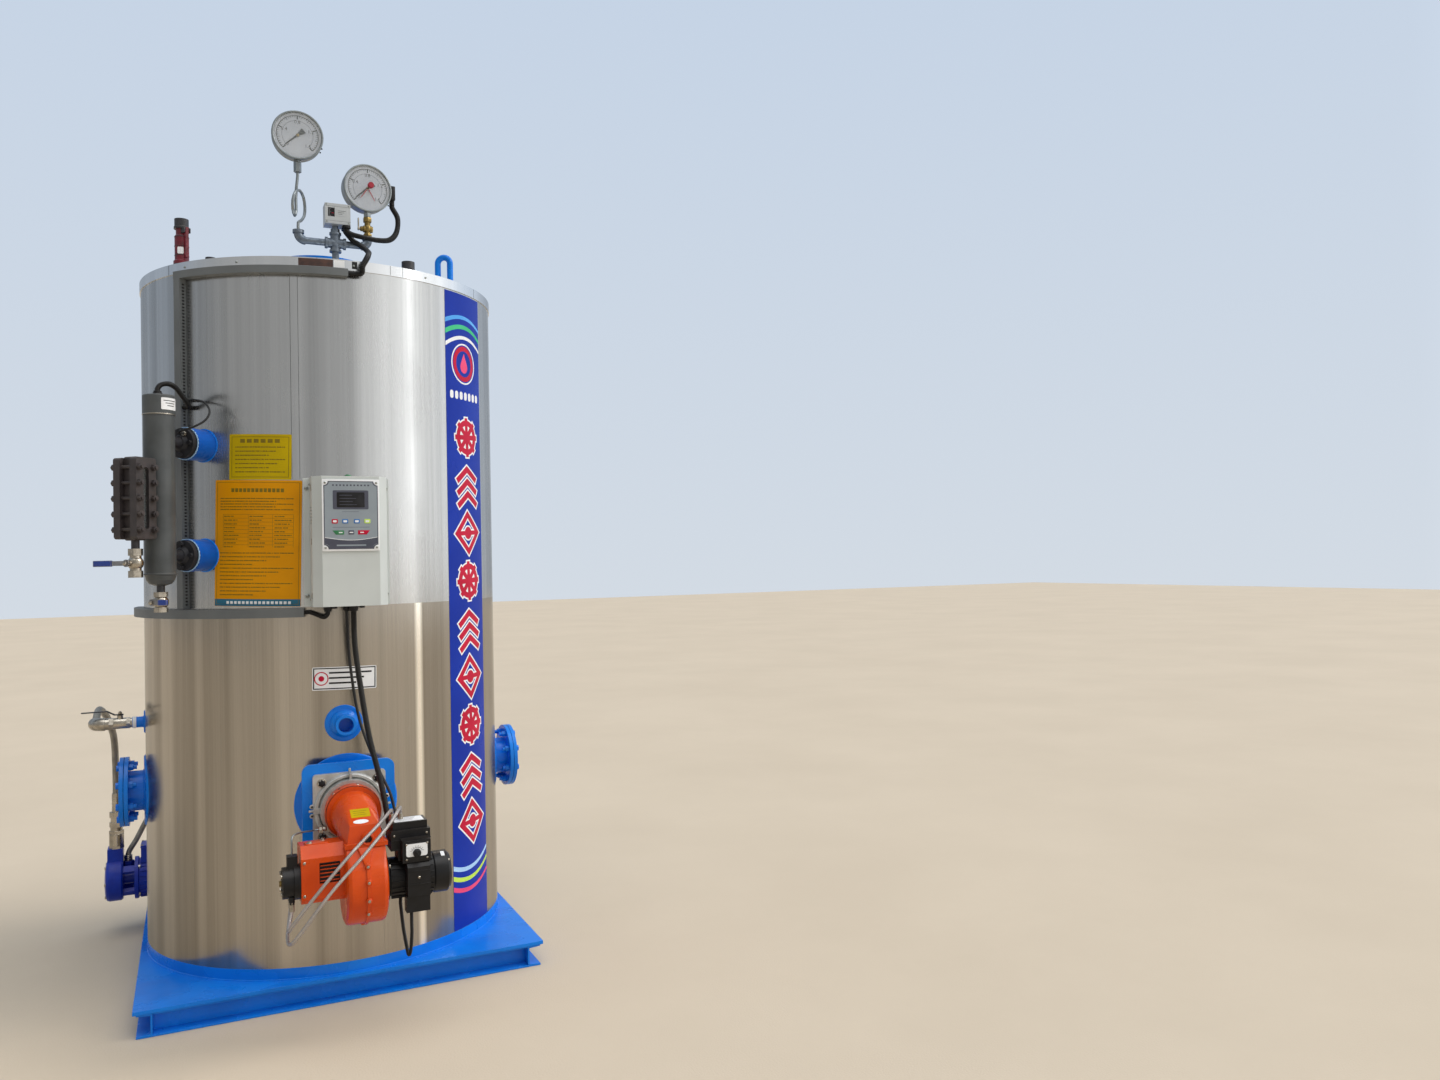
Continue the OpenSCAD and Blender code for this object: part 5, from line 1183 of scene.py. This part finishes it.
def makeRimTrim(plan):
    bm = bmesh.new()
    for azimuth in plan["joints"]:
        strap = bmesh.new()
        addBox(strap, (-0.5, 2138.2, -0.2), (0.5, 2167.6, 0.25), Matrix(), 0, 1)
        wrapOnShell(strap, azimuth, rimRadius, 6)
        mesh = bpy.data.meshes.new("strap")
        strap.to_mesh(mesh)
        strap.free()
        bm.from_mesh(mesh)
        bpy.data.meshes.remove(mesh)
    for azimuth in plan["screws"]:
        addScrew(bm, 3.4, shellFrame(azimuth, rimRadius, plan["height"]))
    finishPiece("rimTrim", bm, ["zincScrew", "inkBlack"])
    # Painted reflections on the rim: a dark brown band, a pale patch and a small black patch, as a thin strip
    strip = bmesh.new()
    for low, high, tone in ((-50, 46, 0), (48, 78, 1), (99, 114, 2)):
        addBox(strip, (low, 2143, -0.2), (high, 2164.5, 0.6), Matrix(), 0, tone)
    wrapOnShell(strip, -7.6, rimRadius, 8)
    finishPiece("rimPaintedReflections", strip, ["rimReflectionBrown", "whiteVinyl", "rubberBlack"])
    # Dark line each side of the lap joint of the upper sheets, two joints of the rim
    lap = bmesh.new()
    for x in (-11.6, 10.2):
        addBox(lap, (x, 1519, 0), (x + 1.4, 2136, 0.2), Matrix(), 0)
    for x in (276, 316):
        addBox(lap, (x, 2139, 3), (x + 1.2, 2167, 3.2), Matrix(), 0)
    wrapOnShell(lap, -14.3, shellRadius + 0.05, 6)
    finishPiece("lapShadow", lap, "greyPvc")


makeRimTrim(rimTrim)


# Label plate, bright ring and cable glands of the water column
columnCentre = local(columnAz, 0, 714, 0)


def makeColumnTrim():
    plate = bmesh.new()
    addPlate(plate, 50, 33, 0, 0.8, moved(0, 1720.5), 0, 3)
    for row in range(3):
        addBox(plate, (-19 + 5 * row, 1728 - 7 * row, 0.6), (19 - 3 * row, 1730 - 7 * row, 0.95),
               Matrix(), 0, 1)
    wrapOnShell(plate, 44, 41.6, 4, columnCentre[:2])
    finishPiece("columnPlate", plate, ["whiteVinyl", "inkBlack"])
    bm = bmesh.new()
    axis = moved(columnCentre[0], columnCentre[1], 0)
    addCollar(bm, 40.5, 42.4, 1691.5, 1694.5, axis, 0, 0.6)
    addCollar(bm, 3.2, 7, -0.2, 6, shellFrame(columnAz, 636.2, 1648, 14), 0)
    addHex(bm, 14, -0.2, 3.5, shellFrame(columnAz, 636.2, 1648, 14), 0)
    addCollar(bm, 7.7, 12.5, 0, 8, moved(*local(columnAz, -4, 714, 1747)), 1)
    addCollar(bm, 7.7, 10.5, 7, 13, moved(*local(columnAz, -4, 714, 1747)), 1)
    for z in (1302, 1622):
        addCollar(bm, 45, 47.6, -1.6, 1.6, shellFrame(columnAz, 620.2, z), 2, 0.3)
    finishPiece("columnGlands", bm, ["nickelPlate", "blackNylon", "paleVinyl"])
    wires = bmesh.new()
    for x in (-6.2, -2.1, 2.1, 6.2):
        for deep in (6, 11, 16):
            addRod(wires, 2.6, 1152, 2118,
                   shellFrame(ductAz, shellRadius + deep, 0, x) @ turned(-90, "X"), 10, 0)
    finishPiece("ductWires", wires, "rubberBlack")


makeColumnTrim()


# Sleeves and nuts of the valve levers ride with them
sleeves = {
    "gaugeLeverSleeve": {"body": "gauge_lever_body",
                         "place": shellFrame(columnAz, 829.25, 1282) @ turned(180),
                         "reach": (49.2, 110.3)},
    "columnLeverSleeve": {"body": "column_lever_body", "place": shellFrame(columnAz, 744.25, 1173),
                          "reach": (23.1, 52.3)},
}


def makeSleeve(name, sleeve):
    bm = bmesh.new()
    low, high = sleeve["reach"]
    addBox(bm, (low, -8.3, -1.8), (high, 8.3, 4.8), sleeve["place"], 2.4, 0, 3)
    addBox(bm, (low - 1.5, -7.4, -1.3), (low + 3, 7.4, 4.3), sleeve["place"], 1.2, 0)
    addHex(bm, 11, 3, 8.4, sleeve["place"], 1)
    finishPiece(name, bm, ["blueDip", "nickelPlate"], sleeve["body"])


for name, sleeve in sleeves.items():
    makeSleeve(name, sleeve)
nut = bmesh.new()
addHex(nut, 11, 3, 9, moved(-620, 0, 808), 0)
finishPiece("feedLeverNut", nut, "nickelPlate", "feed_lever_body")


# Brass three-way cock under the right dial, its silver handle upright on the left
def makeCock():
    bm = bmesh.new()
    place = moved(105, -313, 2311)
    brass, silver = range(2)
    addHex(bm, 23.8, 0, 10, place, brass)
    addTurned(bm, [(0, 9), (9, 9), (9, 14), (11.5, 17), (12.5, 26), (11.5, 35), (9, 38), (9, 49),
                   (0, 49)], place, 32)
    addHex(bm, 23.8, 48, 62, place)
    across = place @ moved(0, 0, 26) @ turned(90, "Y")
    addTurned(bm, [(0, -22), (7.5, -22), (8, -20), (8, -14), (10.8, -13), (10.8, 12), (9, 16), (0, 16)],
              across, 32)
    addRod(bm, 4.5, -30, -21.5, across, 20, 0.5, silver)
    addBox(bm, (-29.8, -4, 21), (-25.2, 4, 60), place, 1.8, silver)
    addRod(bm, 6, -30.2, -25, across, 24, 0.8, silver)
    finishPiece("gaugeCockFine", bm, ["turnedBrass", "nickelPlate"], replaces=["gauge_cock"])


makeCock()


# Pressure switch: lid line, window with its scale, screws and glands
def makeSwitchTrim():
    bm = bmesh.new()
    face = panelFrame(0, (-26, -343, 2335))
    white, ink, steel, red = range(4)
    addBox(bm, (9.2, 22.2, -2.3), (28.8, 49.8, -1.5), face, 0, ink)
    for i in range(7):
        addBox(bm, (11, 25 + i * 3.6, -1.6), (15 if i % 3 else 18, 25.6 + i * 3.6, -1.3), face, 0,
               white)
    addBox(bm, (20, 33, -1.6), (26, 34.4, -1.0), face, 0, red)
    for x, y in ((5, 5), (71, 5), (5, 59), (71, 59)):
        addScrew(bm, 2.6, face @ moved(x, y), steel, ink)
    for x0, x1, y0, y1 in ((0, 76, 8.8, 9.4), (0, 76, 54.6, 55.2)):
        addBox(bm, (x0, y0, -0.2), (x1, y1, 0.12), face, 0, ink)
    addPlate(bm, 34, 22, -0.2, 0.3, face @ moved(50, 36), white, 1.5)
    for row in range(3):
        addBox(bm, (38, 41 - row * 5, 0.2), (62 - 5 * row, 42 - row * 5, 0.42), face, 0, ink)
    for x, y in ((39, -331), (39, -304)):
        addCollar(bm, 9.2, 12.6, -8, 0.1, moved(x, y, 2334.8), ink)
    finishPiece("switchTrim", bm, ["switchEnamel", "inkBlack", "zincScrew", "redVinyl"])


makeSwitchTrim()


# Control box: wall screws, cable glands below, a green seal above and the line of the cover
def makeBoxTrim():
    bm = bmesh.new()
    steel, ink, nylon, green = range(4)
    for x in (-111, 111):
        for z in (1178, 1490):
            addScrew(bm, 6, panelFrame(0, (x, -557, z)), steel, ink, 20)
    for x, y, r in ((-60, -598, 7), (10, -606, 8.5), (-8, -592, 4)):
        addCollar(bm, r + 0.2, r + 5, -9, 0.1, moved(x, y, 1147.9), nylon)
        addCollar(bm, r + 0.2, r + 3.4, -15, -8, moved(x, y, 1147.9), nylon)
    for x in (-42, 34):
        addCollar(bm, 2, 8, -7, 0.1, moved(x, -600, 1147.9), nylon)
        addRod(bm, 3, -7.5, 0, moved(x, -600, 1147.9), 16, 0, ink)
    addCollar(bm, 1, 9, -0.1, 6, moved(-2, -612, 1520), green)
    addRod(bm, 5, 0, 7.5, moved(-2, -612, 1520), 20, 0.8, green)
    for z in (1180, 1334, 1488):
        addBox(bm, (-104.2, -652.8 + 30, z - 9), (-102.8, -652.8 + 44, z + 9), Matrix(), 0.5, steel)
    for x in (-103, 103):
        for z in (1168, 1500):
            addScrew(bm, 4, panelFrame(90 if x > 0 else -90, (x, -578, z)), steel, ink)
    finishPiece("boxTrim", bm, ["zincScrew", "inkBlack", "blackNylon", "greenKey"])


makeBoxTrim()


# Burner trim: bare labels, sight hole, bolts, intake plate, pipe fitting
def makeBurnerTrim():
    bm = bmesh.new()
    orange, yellow, white, ink, steel, casting = range(6)
    slope = turned(21.5, "X")
    # Yellow label and a pale oval on the sloping neck
    addPlate(bm, 50, 40, -1.5, 0.5, moved(-5, -798, 589.3) @ slope, yellow, 1.5)
    for row, wide in enumerate((36, 30, 34)):
        addBox(bm, (-18, 9 - row * 9, 0.4), (-18 + wide, 10 - row * 9, 0.65),
               moved(-5, -798, 589.3) @ slope, 0, ink)
    oval = moved(-8, -836, 574.4) @ slope
    addRod(bm, 9.5, -1.5, 0.45, oval @ Matrix.Diagonal((2.1, 1, 1, 1)), 32, 0, white)
    # Sight hole boss over the joint flange
    sight = panelFrame(0, (4, -866, 534))
    addTurned(bm, [(10.5, 3), (10.5, 13), (13.5, 14.5), (16, 12.5), (17, -6), (0, -6), (0, 3),
                   (10.5, 3)], sight, 32, orange)
    addRod(bm, 10.4, 2.8, 6, sight, 28, 0, ink)
    # Rib that tapers down the joint of the fan halves, its boss and screws
    addOutline(bm, [(-20, 26), (-4.5, -26), (4.5, -26), (20, 26)], -16, 3,
               moved(-3, -891, 492) @ turned(55.7, "X"), orange, 1.5)
    for z, reach in ((470, 93), (432, 109), (384, 109), (345, 90)):
        boss = panelFrame(0, (-1, -815 - reach, z))
        addTurned(bm, [(0, -6), (7.5, -6), (7.5, 2.5), (6, 4), (0, 4)], boss, 20, orange)
        addHex(bm, 7, 3.8, 6, boss, steel)
    # Plate with two bolts on the air intake
    lid = moved(-119, -806, 525.2) @ turned(-5.3, "X")
    addPlate(bm, 60, 58, -1, 3, lid, orange, 8, 1)
    for x, y in ((-19, -18), (18, 16)):
        addCollar(bm, 3, 8, 2.9, 4.4, lid @ moved(x, y), steel, 0.4)
        addHex(bm, 10, 4.2, 8.6, lid @ moved(x, y), steel)
    addScrew(bm, 4, panelFrame(0, (-154, -862, 402)), steel, ink)
    addScrew(bm, 4, panelFrame(0, (-154, -862, 488)), steel, ink)
    # Black sheet behind the orange slats: painted shade standing in for the dark inside of the intake recess
    addBox(bm, (-117.3, -852.6, 428.7), (-64.7, -851, 484.3), Matrix(), 0, ink)
    for i in range(5):
        addBox(bm, (-115, -858, 434 + i * 10), (-67, -851.5, 436.4 + i * 10), Matrix(), 0.6, orange)
    # Collar: three clamp slots and screws, nuts of the square flange
    collar = panelFrame(0, (-9, -646, 570))
    for angle in (62, 118, 180, 0):
        addBox(bm, (70, -3.5, 12), (73.6, 3.5, 34), collar @ turned(angle), 1.2, ink)
        addScrew(bm, 4.5, collar @ turned(angle + 16) @ moved(73, 0, 24) @ turned(90, "Y"), steel, ink)
    addCollar(bm, 72.6, 76.5, 38, 46, collar, orange, 1.5)
    addCollar(bm, 68, 74.6, 46, 47.6, collar, ink, 0.4)
    flange = panelFrame(0, (-9, -600, 570))
    for x in (-76, 76):
        for y in (-76, 76):
            addCollar(bm, 4, 13, 13.9, 16, flange @ moved(x, y), steel, 0.5)
            addHex(bm, 17.4, 15, 24.6, flange @ moved(x, y), ink)
            addRod(bm, 5, 20, 30, flange @ moved(x, y), 16, 0.8, ink)
    # Raised ring, gussets and small bosses cast on the flange
    addTurned(bm, [(86, 13.5), (99, 13.5), (97, 22), (94, 25), (88, 25), (86, 22), (86, 13.5)], flange,
              56, casting)
    for angle in (90, 180, 0):
        addBox(bm, (94, -3.2, 13.5), (112, 3.2, 21), flange @ turned(angle), 1.6, casting)
    for x, y in ((-103, 12), (-103, -14), (103, 22), (-60, -104), (58, -104)):
        addRod(bm, 6.5, 13.5, 17.5, flange @ moved(x, y), 20, 1, casting)
        addRod(bm, 3, 17, 18.4, flange @ moved(x, y), 14, 0, ink)
    # Pipe fitting on the left of the collar
    fitting = moved(-100, -670, 528) @ turned(90, "Y")
    addHex(bm, 15.6, 0.2, 11, fitting, steel)
    addRod(bm, 7.4, 10, 22, fitting, 24, 0.6, steel)
    addHex(bm, 17, 22, 32, fitting, steel)
    addBox(bm, (-52, -692, 517), (-34, -660, 540), Matrix(), 3, casting)
    finishPiece("burnerTrim", bm,
                ["orangeEnamel", "yellowVinyl", "whiteVinyl", "inkBlack", "nickelPlate",
                 "castAluminium"])


makeBurnerTrim()


def makeControlTrim():
    bm = bmesh.new()
    nylon, white, ink, steel, brass = range(5)
    # Cover plates, label on top, scale plate and knob on the dial block
    addPlate(bm, 78, 52, 0, 0.6, moved(118, -817, 562), white, 2)
    for row in range(4):
        addBox(bm, (84 + row * 3, -800 - row * 10, 562.5), (140 - row * 4, -798.6 - row * 10, 562.8),
               Matrix(), 0, ink)
    dial = panelFrame(0, (126, -904, 493))
    addPlate(bm, 64, 50, -0.2, 1.2, dial, nylon, 5, 0.4)
    addPlate(bm, 56, 34, 1.0, 1.6, dial @ moved(0, 4), white, 6)
    addBead(bm, 15, 0.5, dial @ moved(0, -4, 1.6) @ turned(20), 30, ink, 4, 0.0, 140.0)
    for i in range(8):
        addBox(bm, (16.5, -0.35, 1.5), (20, 0.35, 1.85), dial @ moved(0, -4) @ turned(20 + 20 * i), 0,
               ink)
    addTurned(bm, [(0, 1.5), (11, 1.5), (11, 4), (9.6, 11), (8.4, 12.4), (0, 12.6)],
              dial @ moved(0, -4), 28, nylon)
    addBox(bm, (-1.4, -9, 11.5), (1.4, 9, 14.4), dial @ moved(0, -4) @ turned(28), 0.6, nylon)
    for x, y in ((-27, 20), (27, 20), (-27, -20), (27, -20)):
        addScrew(bm, 2.6, dial @ moved(x, y, 1.2), steel, ink)
    # Steps of the control cover, its side screws and the joint to the base
    addBox(bm, (64.5, -863.5, 515), (171.5, -770.5, 519), Matrix(), 1.4, nylon)
    addBox(bm, (64.5, -863.5, 490), (171.5, -770.5, 493.5), Matrix(), 1.2, nylon)
    for x in (74, 160):
        addScrew(bm, 3, panelFrame(0, (x, -862, 530)), steel, ink)
    # Motor: cooling fins, end shield with vents, bolts and a small bare label
    for i in range(20):
        angle = i * 18
        if 60 < angle < 120:
            continue
        addBox(bm, (53, -1.1, 14), (57, 1.1, 126),
               moved(52, -815, 408) @ turned(90, "Y") @ turned(angle + 90), 0.5, nylon)
    cap = moved(52, -815, 408) @ turned(90, "Y")
    for i in range(18):
        addBox(bm, (20, -1.3, 174.2), (43, 1.3, 175.4), cap @ turned(i * 20), 0, ink)
    addRod(bm, 14, 174, 177, cap, 28, 1, nylon)
    for i in range(4):
        addHex(bm, 8, 166, 171, cap @ turned(45 + 90 * i) @ moved(51, 0), steel)
        addHex(bm, 9, 7.8, 13, cap @ turned(45 + 90 * i) @ moved(59, 0), steel)
    addPlate(bm, 10, 20, -1, 0.6, moved(207, -815, 408) @ turned(22, "X") @ moved(0, 0, 56), white, 1.5)
    # Plug under the dial block: mould lines and a clamp screw
    addBox(bm, (99, -912.2, 405), (161, -911, 408), Matrix(), 0.4, nylon)
    addBox(bm, (99.4, -911.8, 440), (160.6, -910.8, 443), Matrix(), 0.4, nylon)
    addScrew(bm, 4, panelFrame(0, (130, -911, 424)), steel, ink)
    # Fuel pump: cover bolts, plug, unions of both hoses
    pump = moved(-162, -815, 432) @ turned(-90, "Y")
    for i in range(4):
        addHex(bm, 9, 43.8, 49, pump @ turned(45 + 90 * i) @ moved(32, 0), steel)
    addHex(bm, 14, 43.8, 51, pump, brass)
    addRod(bm, 20, 43.5, 45.5, pump, 32, 0.6, nylon)
    for y in (-837, -793):
        addHex(bm, 14, 380, 386, moved(-184, y, 0), steel)
        addCollar(bm, 4.7, 6.6, 362, 380, moved(-184, y, 0), steel)
    for x, y in ((78, -800), (100, -806)):
        addCollar(bm, 4.7, 6.6, 562.1, 578, moved(x, y, 0), steel)
        addHex(bm, 14, 561.8, 567, moved(x, y, 0), steel)
    finishPiece("burnerControlTrim", bm,
                ["blackNylon", "whiteVinyl", "inkBlack", "nickelPlate", "turnedBrass"])


makeControlTrim()


# Feed line and pump: crimped ferrules, union rings, motor lid screws and fan cover slots
def makePumpTrim():
    bm = bmesh.new()
    steel, white, blue, ink = range(4)
    hoseStart = moved(hoseX, 28.1, feedZ) @ turned(-90, "X")
    addCollar(bm, 11.1, 14, 0, 26, hoseStart, steel, 1)
    for z in (6, 13, 20):
        addBead(bm, 14, 0.8, hoseStart @ moved(0, 0, z), 28, steel, 5)
    addHex(bm, 30, 0, 7, hoseStart, steel)
    hoseEnd = moved(outletX, pumpY, 457.1)
    addCollar(bm, 11.1, 13.6, 0, 26, hoseEnd, steel, 1)
    for z in (-30, -20, -10, 8, 16):
        addBead(bm, 13.6, 0.8, hoseEnd @ moved(0, 0, z), 28, steel, 5)
    addCollar(bm, 9.1, 13, 0, 20, moved(-626, 480, 238.1), steel, 1)
    for z in (6, 13):
        addBead(bm, 13, 0.8, moved(-626, 480, 238.1 + z), 24, steel, 5)
    # Tape ring at the end of the feed stub
    addCollar(bm, 17.1, 18, -11, -1, panelFrame(-90, (-586, 0, feedZ)), white, 0.4)
    # Motor: bolts, terminal box lid and fan cover slots
    motor = moved(-604, 454, 182) @ turned(90, "Y")
    for i in range(4):
        addHex(bm, 11, 11.8, 19, motor @ turned(45 + 90 * i) @ moved(66, 0), steel)
    for i in range(24):
        addBox(bm, (28, -1.5, 195.2), (52, 1.5, 196.4), motor @ turned(i * 15), 0, ink)
    for x, y in ((-42, -34), (42, -34), (-42, 34), (42, 34)):
        addScrew(bm, 4, moved(-538 + x, 454 + y, 298), steel, ink)
    addPlate(bm, 96, 84, -7, -4.5, moved(-538, 454, 298), blue, 4, 0.8)
    head = moved(-640, 454, 182) @ turned(-90, "Y")
    for i in range(6):
        addHex(bm, 10, 49, 56, head @ turned(30 + 60 * i) @ moved(58, 0), steel)
    addPlate(bm, 36, 24, 0.1, 1.2, panelFrame(0, (-538, 414, 268)), white, 2)
    finishPiece("pumpTrim", bm, ["nickelPlate", "whiteVinyl", "ultramarineEnamel", "inkBlack"])


makePumpTrim()


# Safety valves: lever forks, lock rings and a bare white mark
def makeSafetyTrim(name, x, y, scaleTo):
    bm = bmesh.new()
    k = scaleTo / 216
    place = moved(x, y, 2168)
    claret, ink, white = range(3)
    addHex(bm, 40 * k, 48 * k, 58 * k, place, ink)
    addCollar(bm, 16 * k, 24 * k, 69 * k, 75 * k, place, claret, 1)
    for z in (98, 128, 158):
        addBead(bm, 21 * k, 1.2, place @ moved(0, 0, z * k), 28, ink, 5)
    addCollar(bm, 16 * k, 23 * k, 184 * k, 192 * k, place, ink, 1.5)
    addRod(bm, 12 * k, 215 * k, 216.5 * k, place, 20, 0.4, ink)
    addPlate(bm, 18 * k, 22 * k, 19 * k, 21.6 * k, place @ panelFrame(-10, (0, 0, 112 * k)), white, 3)
    for side in (-1, 1):
        addBox(bm, (14 * k, side * 9 * k - 2, 168 * k), (34 * k, side * 9 * k + 2, 184 * k),
               place @ turned(300), 1, ink)
    finishPiece(name, bm, ["claretEnamel", "darkIron", "whiteVinyl"])


makeSafetyTrim("safetyTrimMain", -430, -40, 216)
makeSafetyTrim("safetyTrimSmall", -342, 265, 180)
print("trim made")


# Pale floor, plain sky and soft lamps
def makeFloor():
    material, tree, place = newMaterial("paleConcrete")
    cloud = addNode(tree, "ShaderNodeTexNoise", {0: place, 2: 0.8, 3: 8.0, 4: 0.6}).outputs[0]
    grit = addNode(tree, "ShaderNodeTexNoise", {0: place, 2: 180.0, 3: 2.0}).outputs[0]
    colour = blendColours(tree, spread(tree, cloud, 0, 1, 0.35, 0.65), linear("#cbbca6"),
                          linear("#c6b7a1"))
    bump = addNode(tree, "ShaderNodeBump", {"Height": grit, "Distance": 0.0006})
    shader = addNode(tree, "ShaderNodeBsdfPrincipled",
                     {"Base Color": colour, "Roughness": 0.85, "Normal": bump.outputs[0]})
    addNode(tree, "ShaderNodeOutputMaterial", {0: shader.outputs[0]})
    bm = bmesh.new()
    bmesh.ops.create_grid(bm, x_segments=1, y_segments=1, size=30)
    mesh = bpy.data.meshes.new("floor")
    bm.to_mesh(mesh)
    bm.free()
    mesh.materials.append(material)
    floor = bpy.data.objects.new("floor", mesh)
    floor.location.z = -0.0005
    scene.collection.objects.link(floor)


makeFloor()


def makeSky():
    world = bpy.data.worlds.new("paleSky")
    scene.world = world
    world.use_nodes = True
    tree = world.node_tree
    tree.nodes.clear()
    direction = addNode(tree, "ShaderNodeTexCoord").outputs["Generated"]
    axes = addNode(tree, "ShaderNodeSeparateXYZ", {0: direction})
    height = spread(tree, axes.outputs[2], 0, 1, -0.05, 0.7)
    colour = blendColours(tree, height, linear("#d3dbe4"), linear("#bfd0e6"))
    # Pale buildings stand behind the camera, so the shell shows a neutral grey there
    colour = blendColours(tree, spread(tree, axes.outputs[1], 0, 1, -0.3, 0.3), linear("#dadad9"),
                          colour)
    # The yard is brightest in front on the right, which the polished shell shows
    across = addMath(tree, "MULTIPLY", axes.outputs[0], 0.906)
    ahead = addMath(tree, "MULTIPLY", axes.outputs[1], -0.423)
    towards = addMath(tree, "MAXIMUM", addMath(tree, "ADD", across, ahead), 0.0)
    glow = addMath(tree, "MULTIPLY", addMath(tree, "MULTIPLY", towards, towards), 1.3)
    above = addMath(tree, "MULTIPLY", addMath(tree, "MULTIPLY", axes.outputs[2], axes.outputs[2]), 0.4)
    # A pale wall stands there, narrow and bright
    sideways = addMath(tree, "ADD", addMath(tree, "MULTIPLY", axes.outputs[0], 0.588),
                       addMath(tree, "MULTIPLY", axes.outputs[1], 0.809))
    wall = addMath(tree, "MULTIPLY",
                   addMath(tree, "LESS_THAN", addMath(tree, "ABSOLUTE", sideways), 0.035),
                   addMath(tree, "GREATER_THAN", axes.outputs[0], 0.0))
    yard = addMath(tree, "ADD", addMath(tree, "ADD", glow, above), addMath(tree, "MULTIPLY", wall, 3.6))
    yard = addMath(tree, "ADD", yard, 0.6)
    seen = addNode(tree, "ShaderNodeLightPath").outputs["Is Camera Ray"]
    strength = addMath(tree, "MAXIMUM", yard, seen)
    shade = addNode(tree, "ShaderNodeBackground", {0: colour, 1: strength})
    addNode(tree, "ShaderNodeOutputWorld", {0: shade.outputs[0]})


makeSky()

lamps = {
    "lowSun": {"azimuth": 75, "height": 40, "spread": 22, "power": 1.1, "tint": "#fff8f0"},
    "highSun": {"azimuth": 10, "height": 77, "spread": 50, "power": 0.95, "tint": "#ffffff"},
}
for name, lamp in lamps.items():
    data = bpy.data.lights.new(name, "SUN")
    data.energy = lamp["power"]
    data.angle = math.radians(lamp["spread"])
    data.color = linear(lamp["tint"])[:3]
    light = bpy.data.objects.new(name, data)
    a, h = math.radians(lamp["azimuth"]), math.radians(lamp["height"])
    toLamp = Vector((math.sin(a) * math.cos(h), -math.cos(a) * math.cos(h), math.sin(h)))
    light.matrix_world = Matrix.Translation(toLamp * 6) @ toLamp.to_track_quat("Z", "Y").to_matrix().to_4x4()
    scene.collection.objects.link(light)
print("floor, sky and lamps set")

bpy.context.view_layer.update()
